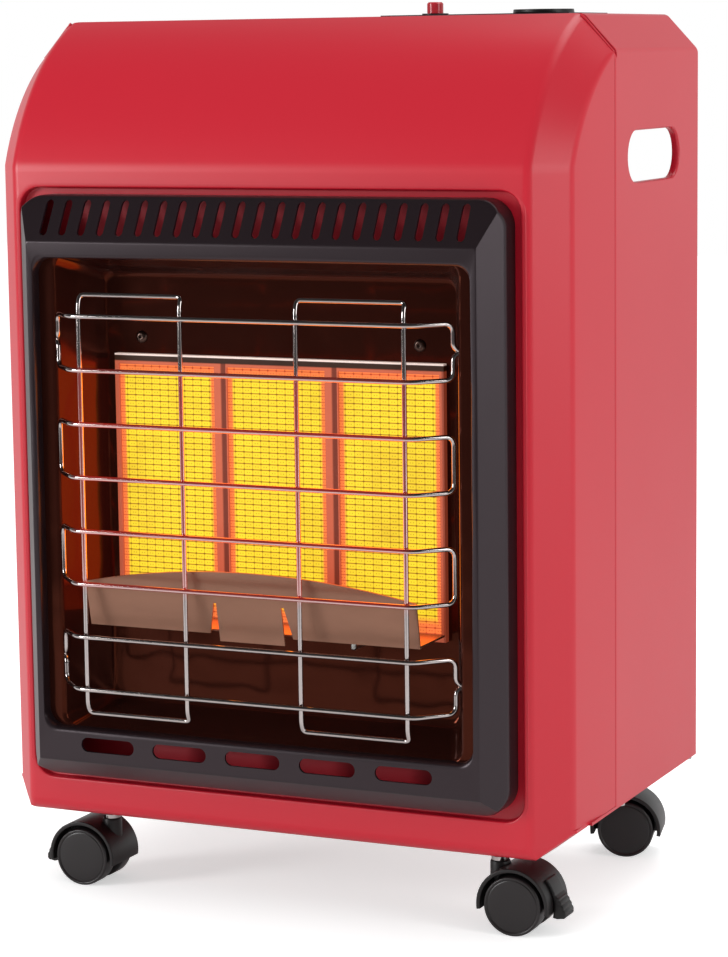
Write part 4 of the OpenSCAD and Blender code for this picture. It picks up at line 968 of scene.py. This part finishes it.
def bezel_loop(loop):
    """Puts an (x, z) loop on the bezel's front: it stands out by the lowest of the four slopes and
    the ridge's height. Each slope rises evenly from the outline to the ridge."""
    (half, low, high), (half_in, low_in, high_in) = BEZEL_EDGE, BEZEL_RIDGE
    rise, x, z = RIDGE_HIGH - EDGE_HIGH, loop[:, 0], loop[:, 1]
    side = EDGE_HIGH + (half - np.abs(x)) * rise / (half - half_in)
    top = EDGE_HIGH + (high - z) * rise / (high - high_in)
    foot = EDGE_HIGH + (z - low) * rise / (low_in - low)
    out = np.minimum(np.minimum(side, RIDGE_HIGH), np.minimum(top, foot))
    return loop_at(loop, FACE_Y - out * MM)


def mitred_outline():
    """Rounded outline of the bezel whose corner arcs have a point exactly on each mitre, in step
    with the ridge's own points, as two (x, z) loops."""
    corners, inner = corner_points(*BEZEL_EDGE), corner_points(*BEZEL_RIDGE)
    centre = corners + INWARD * EDGE_R
    # where each mitre meets its arc: the far root of |inner + s d - centre| = r
    d = unit(corners - inner)
    w = inner - centre
    b = (w * d).sum(1)
    hit = inner + d * (-b + np.sqrt(b**2 - (w * w).sum(1) + EDGE_R**2))[:, None]
    at = np.arctan2(hit[:, 1] - centre[:, 1], hit[:, 0] - centre[:, 0])
    at = ((at - ARC_START) % FULL_TURN)[:, None]
    t = np.linspace(0, 1, ARC_STEPS)
    angle = ARC_START[:, None] + np.concatenate([at * t, at + (math.pi / 2 - at) * t[1:]], 1)
    return (join_arcs(arcs_about(centre, EDGE_R, angle), SIDE_STEPS),
            join_arcs(arcs_about(inner + INWARD * RIDGE_R, RIDGE_R, angle), SIDE_STEPS))


def row_of(loop, count, pitch, z):
    """Copies of a loop at an even pitch about x = 0."""
    return [loop + np.array([x, z]) for x in (np.arange(count) - (count - 1) / 2) * pitch]


class HEATER_OT_bezel(bpy.types.Operator):
    """Dark bezel of four mitred slopes and a flat inner frame, with louvres and air slots"""

    bl_idname = "heater.bezel"
    bl_label = "Bezel"

    def execute(self, context):
        f = FACE_Y
        outline, ridge = mitred_outline()
        slopes = [bezel_loop(outline * (1 - t) + ridge * t) for t in (0.33, 0.67)]
        mouth = rect_loop(*MOUTH, steps=2 * ARC_STEPS - 1, along=SIDE_STEPS)
        loops = [loop_at(outline, f + SKIRT_BACK), loop_at(outline, f), bezel_loop(outline),
                 *slopes, loop_at(ridge, f - RIDGE_HIGH * MM), loop_at(mouth, f - MOUTH_FRONT),
                 loop_at(mouth, f - MOUTH_BACK)]
        # the outline's front edge, the ridge and the mouth's edge are the corners that bend
        grid = profile_ring(loops, [0, 0, 0.0022, 0, 0, 0.0013, 0.0052, 0])
        shell = mesh_piece("bezel_shell", [(grid, True, False)])
        round_edges(shell, 0.0011, degrees=40)
        add_wall(shell, context.scene.heater_sizes.bezel_wall)
        upright = stadium_loop(*LOUVRE)[:, ::-1] * np.array([1, -1])
        cuts = (row_of(upright, LOUVRES, LOUVRE_PITCH, LOUVRE_Z)
                + row_of(stadium_loop(*AIR_SLOT), AIR_SLOTS, AIR_SLOT_PITCH, AIR_SLOT_Z))
        cut(shell, prism_mesh("louvre_cutter", cuts, f - 0.04, f - 0.002))
        even_shading(shell, 32)
        finish_piece(shell, "dark paint", "cabinet", "anthracite_paint", "bezel")
        return {"FINISHED"}


# ---- burner, firebox and guard -------------------------------------------------

FIREBOX_FRONT, FIREBOX_BACK = FACE_Y - 0.019, FACE_Y + 0.022
# Half width, foot, top and corner radius in millimetres
FLANGE_OUT, FLANGE_IN = (157.2, 47.2, 368.8, 12), (145, 48.4, 367.6, 9)
BACK_WALL = (127.8, 61.8, 354.2, 7)
SCREW_DOME = np.array([
    [0, 0.9], [0.9, 0.9], [1.1, 1.9], [1.9, 2.1], [3.1, 1.6], [3.9, 0.8], [4.2, 0.1], [4.2, -0.4],
    [1.9, -0.4], [1.9, -4.5], [0, -4.5]]) * MM
SCREW_HEAD_R = 0.0042
PAN_SHEET = 0.0012

WIRE_R = 0.0016
WIDE_LOOPS, WIDE_FOOT, WIDE_PITCH = 4, BASE_Z + 0.098, 0.071
WIDE_HALF_HIGH = 0.0354 / 2
WIDE_END, WIDE_FRONT = 0.142, 0.122         # x of the ends and of the bends before them
WIDE_SETBACK = 0.021                        # depth of the ends behind the front
HOOK_OUT, HOOK_BACK, HOOK_HALF_HIGH = 0.0035, 0.004, 0.003
UPRIGHT_X, UPRIGHT_HALF = 0.0787, 0.03735
UPRIGHT_Y = FACE_Y - 0.037
UPRIGHT_FOOT, UPRIGHT_TOP = BASE_Z + 0.0635, BASE_Z + 0.3425
UPRIGHT_TURN_HIGH, UPRIGHT_TURN_BACK = 0.006, 0.003


def firebox_skin():
    """Inside of the firebox from the flange behind the bezel's mouth, over four sloping walls, to
    the back wall and the burner's opening, as rings of equal counts."""
    lo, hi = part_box("burner_frame")
    opening = rect_loop(hi[0] / MM - 1, (lo[2] - BASE_Z) / MM + 1.5, (hi[2] - BASE_Z) / MM - 1.5, 1)
    rings = [
        loop_at(rect_loop(*FLANGE_OUT), FIREBOX_FRONT + 0.0002),
        loop_at(rect_loop(*FLANGE_IN), FIREBOX_FRONT + 0.0002),
        loop_at(rect_loop(*BACK_WALL), FIREBOX_BACK),
        loop_at(opening, FIREBOX_BACK), loop_at(opening, FIREBOX_BACK + 0.001)]
    return profile_ring(rings, [0, 0.0025, 0.005, 0.0004, 0])


class HEATER_OT_burner(bpy.types.Operator):
    """Firebox, burner frame, glowing plaques, deflector and pilot"""

    bl_idname = "heater.burner"
    bl_label = "Burner and firebox"

    def execute(self, context):
        pan = mesh_piece("firebox_walls", [(firebox_skin(), True, False)])
        face_towards(pan, -ALONG_Y)
        add_wall(pan, PAN_SHEET)
        even_shading(pan, 35)
        finish_piece(pan, "black enamel", "cabinet", "black_enamel", "firebox_pan")
        lo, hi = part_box("firebox_screws")
        seats = [np.array([x, FIREBOX_BACK, (lo[2] + hi[2]) / 2])
                 for x in (lo[0] + SCREW_HEAD_R, hi[0] - SCREW_HEAD_R)]
        heads = [lathe(SCREW_DOME, seat, -ALONG_Y, ALONG_Z, sides=48) for seat in seats]
        screws = mesh_piece("screw_heads", heads, FINE_WELD)
        smooth(screws, 40)
        finish_piece(screws, "sooted plated steel", "cabinet", "plated_steel", "firebox_screws")
        paint("glowing ceramic", *PLAQUES)
        paint("heat tinted frame with painted light", "burner_frame")
        paint("taupe sheet", "deflector")
        paint("zinc plated steel", "burner_housing", "mixing_tube", "injector_block",
              "burner_tube", "pilot_tube")
        paint("stainless sheet", "pilot_bracket", "thermocouple", "electrode_wire")
        paint("turned brass", "gas_injector", "pilot_burner", "gas_valve", "gas_inlet")
        paint("fired ceramic", "electrode_ceramic", "plaque_gasket")
        return {"FINISHED"}


def wide_wire(k):
    """Points of one wide loop, anticlockwise. Both ends are set back, and those of the lowest and
    highest loop have a small hook in the middle."""
    z, half = WIDE_FOOT + WIDE_PITCH * k, WIDE_HALF_HIGH
    y0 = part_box("guard_horizontal_loops")[0][1] + WIRE_R
    y1 = y0 + WIDE_SETBACK
    hook = []
    if k in (0, WIDE_LOOPS - 1):
        hook = [[WIDE_END, y1, z - HOOK_HALF_HIGH], [WIDE_END + HOOK_OUT, y1 + HOOK_BACK, z],
                [WIDE_END, y1, z + HOOK_HALF_HIGH]]
    right = [[WIDE_END, y1, z - half], *hook, [WIDE_END, y1, z + half]]
    left = [[-x, y, z] for x, y, z in reversed(right)]
    return [[-WIDE_FRONT, y0, z - half], [WIDE_FRONT, y0, z - half], *right,
            [WIDE_FRONT, y0, z + half], [-WIDE_FRONT, y0, z + half], *left]


def upright_wire(side):
    """Points of one upright loop, anticlockwise, whose foot and top turn back a little."""
    x0, x1 = side * UPRIGHT_X - UPRIGHT_HALF, side * UPRIGHT_X + UPRIGHT_HALF
    y, back, lo, hi = UPRIGHT_Y, UPRIGHT_Y + UPRIGHT_TURN_BACK, UPRIGHT_FOOT, UPRIGHT_TOP
    low, high = lo + UPRIGHT_TURN_HIGH, hi - UPRIGHT_TURN_HIGH
    return [[x0, y, low], [x0, back, lo], [x1, back, lo], [x1, y, low],
            [x1, y, high], [x1, back, hi], [x0, back, hi], [x0, y, high]]


class HEATER_OT_guard(bpy.types.Operator):
    """Chromed wire guard: four wide loops set back at their ends, two upright loops behind"""

    bl_idname = "heater.guard"
    bl_label = "Wire guard"

    def execute(self, context):
        turn = context.scene.heater_sizes.wire_bend
        wide = [wide_wire(k) for k in range(WIDE_LOOPS)]
        upright = [upright_wire(side) for side in (-1, 1)]
        for loops, setback, node, name in (
                (wide, turn, "guard_horizontal_loops", "guard_wide_wires"),
                (upright, turn * 0.9, "guard_vertical_loops", "guard_upright_wires")):
            wires = [tube("wire", rounded_path(loop, setback), WIRE_R) for loop in loops]
            guard = join(wires, name)
            smooth(guard, 60)
            finish_piece(guard, "bright chrome wire", "cabinet", "chrome_wire", node)
        return {"FINISHED"}


# ---- controls, castors and the rest --------------------------------------------

# Direction in degrees in which each castor trails
HEADINGS = {"front_right": 0.0, "front_left": 180.0, "rear_right": 13.0, "rear_left": 167.0}
CASTOR_TRAIL = 0.015
# Profiles round the axle as (radius, sideways), and of turned pieces as (radius, height)
HOOD_EDGE = rounded_path(
    np.array([[22.6, -18.5], [25.2, -18.5], [25.2, 18.5], [22.6, 18.5]]) * MM, 0.0007, 4)
HOOD_WEB = rounded_path(np.array([[3.5, -5], [23.0, -5], [23.0, 5], [3.5, 5]]) * MM, 0.0006, 4)
HOOD_SWEEP = np.radians(np.linspace(-9, 189, 67))
SWIVEL_BOSS = np.array([[0, 22], [6.2, 22], [6.8, 23], [6.8, 44.6], [6.5, 45.6], [5.6, 46.0],
                        [4.15, 46.0], [4.1, 45.2], [4.1, 40], [0, 40]]) * MM
WHEEL_PROFILE = np.array([
    [0.0, 6.12], [2.0, 6.12], [9.0, 6.16], [16.6, 6.1], [17.0, 6.05], [17.25, 5.8], [17.55, 5.8],
    [17.8, 6.1], [18.3, 6.4], [18.9, 6.42], [19.4, 6.2], [19.8, 5.7], [20.0, 5.0], [20.0, 0.0],
    [20.0, -5.2], [19.8, -5.9], [19.3, -6.3], [18.5, -6.45], [12.0, -6.45], [5.0, -6.45],
    [0.0, -6.45]]) * MM
LEVER_PAD = rounded_path(
    np.array([[25.5, -8.6], [28.9, -8.2], [28.9, 8.2], [25.5, 8.6]]) * MM, 0.0009, 4)
LEVER_ARM = rounded_path(
    np.array([[4.2, -0.95], [25.9, -0.95], [25.9, 0.95], [4.2, 0.95]]) * MM, 0.0002, 4)
ARM_SWEEP = np.radians(np.linspace(10, 28, 10))
# How far the pad's thickness is stretched at each angle, from its tip to its root on the cover, and
# the waves of the ribs near its tip, up to an angle; all angles are in degrees
PAD_ANGLES = (-16, -13, -9, 6, 12, 16, 40, 42)
PAD_RISE = (0.9, 2.15, 2.45, 1.3, 1.0, 0.62, 0.5, 0.35)
RIBS_END, RIB_HIGH, RIB_RATE = 12, 0.17, 32


class HEATER_OT_controls(bpy.types.Operator):
    """Knob, igniter, panel and the gas parts behind them"""

    bl_idname = "heater.controls"
    bl_label = "Controls"

    def execute(self, context):
        paint("moulded nylon", "control_knob", "igniter_housing", "tilt_switch")
        paint("dark paint", "control_panel")
        paint("red plastic", "igniter_button")
        paint("sooted plated steel", "divider_panel")
        paint("zinc plated steel", "valve_stem", "cylinder_guide", "rear_cover_pegs",
              "base_screws")
        paint("red paint", "base_plate")
        return {"FINISHED"}


class HEATER_OT_castors(bpy.types.Operator):
    """Hooded twin-wheel castors, the front two with ribbed brake levers"""

    bl_idname = "heater.castors"
    bl_label = "Castors"

    def execute(self, context):
        paint("bright chrome wire", "castor_stems")
        for corner, heading in HEADINGS.items():
            paint("zinc plated steel", "axle_" + corner)
            centre = middle_of("axle_" + corner)
            h = math.radians(heading)
            trail = np.array([math.cos(h), math.sin(h), 0.0])
            axle = np.array([-math.sin(h), math.cos(h), 0.0])
            # cover, web between the wheels and swivel boss
            cover = turned_band(HOOD_EDGE, HOOD_SWEEP, centre, axle, trail)
            cover += turned_band(HOOD_WEB, HOOD_SWEEP, centre, axle, trail)
            swivel = (centre - CASTOR_TRAIL * trail) * np.array([1, 1, 0])
            cover.append(lathe(SWIVEL_BOSS, swivel, ALONG_Z, trail, sides=40))
            hood = mesh_piece("hood_cover_" + corner, cover, FINE_WELD)
            smooth(hood, 40)
            finish_piece(hood, "moulded nylon", "castor_" + corner, "black_nylon",
                         "hood_" + corner)
            for node in (f"wheel_a_{corner}", f"wheel_b_{corner}"):
                middle = middle_of(node)
                disc = lathe(WHEEL_PROFILE, middle, unit(middle - centre), trail, sides=96)
                wheel = mesh_piece(node.replace("wheel_", "wheel_disc_"), [disc], FINE_WELD)
                smooth(wheel, 50)
                finish_piece(wheel, "wheel nylon", node, "black_nylon", node)
            if corner.startswith("front"):
                self.lever(corner, centre, axle, trail)
        return {"FINISHED"}

    def lever(self, corner, centre, axle, trail):
        """Thumb lever over the cover: a pad whose radius rises towards its tip, with ribs across
        it, and an arm up from the axle."""
        a = np.radians(np.linspace(PAD_ANGLES[0], PAD_ANGLES[-1], 117))
        deg = np.degrees(a)
        waves = RIB_HIGH * np.abs(np.cos(np.radians(deg * RIB_RATE)))
        stretch = np.interp(deg, PAD_ANGLES, PAD_RISE) + np.where(deg < RIBS_END, waves, 0.0)
        pad = turned_band(LEVER_PAD, a, centre, axle, trail, stretch)
        arm = turned_band(LEVER_ARM, ARM_SWEEP, centre, axle, trail)
        parts = [mesh_piece("lever_part", part, FINE_WELD) for part in (pad, arm)]
        whole = join(parts, "brake_lever_" + corner)
        smooth(whole, 35)
        finish_piece(whole, "moulded nylon", "brake_" + corner, "black_nylon", "brake_" + corner)


# ---- stage ---------------------------------------------------------------------

FLOOR_HALF = 6.0
FLOOR_NEAR, FLOOR_FAR = -0.8, -1.5      # depths between which the mirrored floor darkens
FLOOR_TO_CAMERA, FLOOR_TO_GLOSS = 0.5, 0.12     # light of its own that each kind of ray sees
STUDIO_LIGHT = 0.74                     # level of the even light on matt surfaces
# Name, place, aim, size and power of each lamp
LAMPS = (
    ("left softbox", (-2.15, -2.3, 0.85), (0, 0, 0.35), (0.8, 1.2), 46.0),
    ("right softbox", (2.6, -0.6, 1.0), (0, 0, 0.35), (0.9, 1.5), 19.0),
    ("overhead", (0.3, 0.9, 2.4), (0, 0, 0.3), (1.6, 1.0), 15.0))
# The camera's place, heading, height angle and roll; its focal length and the point where its axis
# meets the picture are in units of the picture's own width and height
CAMERA_PLACE = (0.85878, FACE_Y - 1.72279, BASE_Z + 0.4985)
HEADING, HEIGHT_ANGLE, ROLL = 24.86, 7.97, -0.77
PICTURE_W, PICTURE_H = 728.0, 957.0
FOCAL, AXIS_X, AXIS_Y = 2975.08, 349.26, 466.46
SENSOR = 36.0
# Warm lamp in front of the plaques: its gap to the frame, how much smaller it is, power and colour
FIRE_GAP, FIRE_INSET = 0.0006, (0.012, 0.016)
FIRE_POWER, FIRE_COLOUR = 0.35, (1.0, 0.12, 0.02)


def stage_floor():
    """Pale floor that keeps the object's shadow and shows white to the camera."""
    span = np.linspace(-FLOOR_HALF, FLOOR_HALF, 3)
    grid = np.stack([*np.meshgrid(span, span, indexing="xy"), np.zeros((3, 3))], -1)
    floor = mesh_piece("floor", [(grid, False, False)])
    mat = bpy.data.materials.new("pale floor")
    g = blank_tree(mat)
    rays = g.light_path()
    sweep = g.ramp(g.split(g.place())["Y"], FLOOR_NEAR, FLOOR_FAR)
    mirrored = g.mix(sweep, (0.8, 0.78, 0.78), (0.12, 0.11, 0.11))
    tone = g.mix(rays["Is Glossy Ray"], (0.9, 0.9, 0.9), mirrored)
    matt = g.add("ShaderNodeBsdfDiffuse", {"Color": tone})
    near = g.times(rays["Is Glossy Ray"], g.math("SUBTRACT", 1.0, sweep))
    direct = g.times(rays["Is Camera Ray"], FLOOR_TO_CAMERA)
    seen = g.math("MULTIPLY_ADD", near, FLOOR_TO_GLOSS, direct)
    white = g.add("ShaderNodeEmission", {"Color": WHITE, "Strength": seen})
    both = g.add("ShaderNodeAddShader", {0: matt.outputs[0], 1: white.outputs[0]})
    g.add("ShaderNodeOutputMaterial", {"Surface": both.outputs[0]})
    floor.data.materials.append(mat)


def stage_world(scene):
    """White to the camera, an even soft light for matt surfaces, and for glossy ones a pale
    backdrop behind the object that fades to a darker studio in front and overhead."""
    scene.world = bpy.data.worlds.new("studio")
    g = blank_tree(scene.world)
    rays = g.light_path()
    ray = g.split(g.add("ShaderNodeTexCoord").outputs["Generated"])
    # level of the backdrop from front to back, and share of it from overhead down to the horizon
    behind = g.ramp(ray["Y"], -0.1, 0.6, 0.10, 0.9)
    low = g.ramp(ray["Z"], 0.7, 0.1, 0.25, 1.0)
    change = g.math("SUBTRACT", g.times(behind, low), STUDIO_LIGHT)
    plain = g.math("MULTIPLY_ADD", rays["Is Glossy Ray"], change, STUDIO_LIGHT)
    seen = g.most(rays["Is Camera Ray"], rays["Is Transmission Ray"])
    strength = g.math("MULTIPLY_ADD", seen, g.math("SUBTRACT", 1.0, plain), plain)
    light = g.add("ShaderNodeBackground", {"Color": WHITE, "Strength": strength})
    g.add("ShaderNodeOutputWorld", {"Surface": light.outputs[0]})


def stage_lamp(name, place, aim, size, power, colour=WHITE):
    """Soft rectangular lamp that the camera doesn't see."""
    data = bpy.data.lights.new(name, "AREA")
    data.shape = "RECTANGLE"
    data.size, data.size_y = size
    data.energy = power
    data.color = colour
    lamp = add_object(name, data)
    lamp.location = place
    lamp.visible_camera = False
    lamp.rotation_euler = (Vector(aim) - Vector(place)).to_track_quat("-Z", "Y").to_euler()


def stage_firelight():
    """Small warm lamp as large as the plaques, just in front of the burner's frame."""
    lo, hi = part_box("burner_frame")
    x, y, z = (lo[0] + hi[0]) / 2, lo[1] - FIRE_GAP, (lo[2] + hi[2]) / 2
    size = (hi[0] - lo[0] - FIRE_INSET[0], hi[2] - lo[2] - FIRE_INSET[1])
    stage_lamp("firelight", (x, y, z), (x, y - 1, z), size, FIRE_POWER, FIRE_COLOUR)


def stage_camera(scene):
    """Camera whose lens is set from the focal length in picture units, and its shift from where the
    camera's axis meets the picture."""
    az, el, roll = (math.radians(a) for a in (HEADING, HEIGHT_ANGLE, ROLL))
    back = np.array([math.sin(az) * math.cos(el), -math.cos(az) * math.cos(el), math.sin(el)])
    right = np.array([math.cos(az), math.sin(az), 0.0])
    up = np.cross(back, right)
    x = math.cos(roll) * right + math.sin(roll) * up
    y = -math.sin(roll) * right + math.cos(roll) * up
    data = bpy.data.cameras.new("camera")
    data.sensor_width = data.sensor_height = SENSOR
    data.sensor_fit = "AUTO"
    data.lens = FOCAL * SENSOR / PICTURE_H
    data.shift_x = (PICTURE_W / 2 - AXIS_X) / PICTURE_H
    data.shift_y = (AXIS_Y - PICTURE_H / 2) / PICTURE_H
    data.clip_end = 50.0
    camera = add_object("camera", data)
    turn = Matrix(np.column_stack([x, y, back])).to_4x4()
    camera.matrix_world = Matrix.Translation(CAMERA_PLACE) @ turn
    scene.camera = camera


class HEATER_OT_stage(bpy.types.Operator):
    """Pale floor, soft studio light and the camera"""

    bl_idname = "heater.stage"
    bl_label = "Stage"

    def execute(self, context):
        scene = context.scene
        scene.view_settings.view_transform = "Standard"
        stage_floor()
        stage_world(scene)
        for lamp in LAMPS:
            stage_lamp(*lamp)
        stage_firelight()
        stage_camera(scene)
        return {"FINISHED"}


# ---- add-on --------------------------------------------------------------------


class HEATER_PT_panel(bpy.types.Panel):
    """Sizes, colours and pieces of the heater"""

    bl_idname = "HEATER_PT_panel"
    bl_label = "Cabinet heater"
    bl_space_type = "VIEW_3D"
    bl_region_type = "UI"
    bl_category = "Heater"

    def draw(self, context):
        layout = self.layout
        for group in (context.scene.heater_sizes, context.scene.heater_colours):
            column = layout.column()
            for key in type(group).__annotations__:
                column.prop(group, key)
        for step in STEPS:
            layout.operator(step.bl_idname)


STEPS = (HEATER_OT_front_shell, HEATER_OT_rear_cabinet, HEATER_OT_bezel, HEATER_OT_burner,
         HEATER_OT_guard, HEATER_OT_controls, HEATER_OT_castors, HEATER_OT_stage)
CLASSES = (HeaterSizes, HeaterColours, *STEPS, HEATER_PT_panel)


def register():
    for cls in CLASSES:
        bpy.utils.register_class(cls)
    bpy.types.Scene.heater_sizes = bpy.props.PointerProperty(type=HeaterSizes)
    bpy.types.Scene.heater_colours = bpy.props.PointerProperty(type=HeaterColours)


def unregister():
    del bpy.types.Scene.heater_colours
    del bpy.types.Scene.heater_sizes
    for cls in reversed(CLASSES):
        bpy.utils.unregister_class(cls)


def main():
    register()
    scene = bpy.context.scene
    build_finishes(scene.heater_colours, scene.heater_sizes)
    bpy.ops.heater.front_shell()
    bpy.ops.heater.rear_cabinet()
    bpy.ops.heater.bezel()
    bpy.ops.heater.burner()
    bpy.ops.heater.guard()
    bpy.ops.heater.controls()
    bpy.ops.heater.castors()
    bpy.ops.heater.stage()


if __name__ == "__main__":
    main()
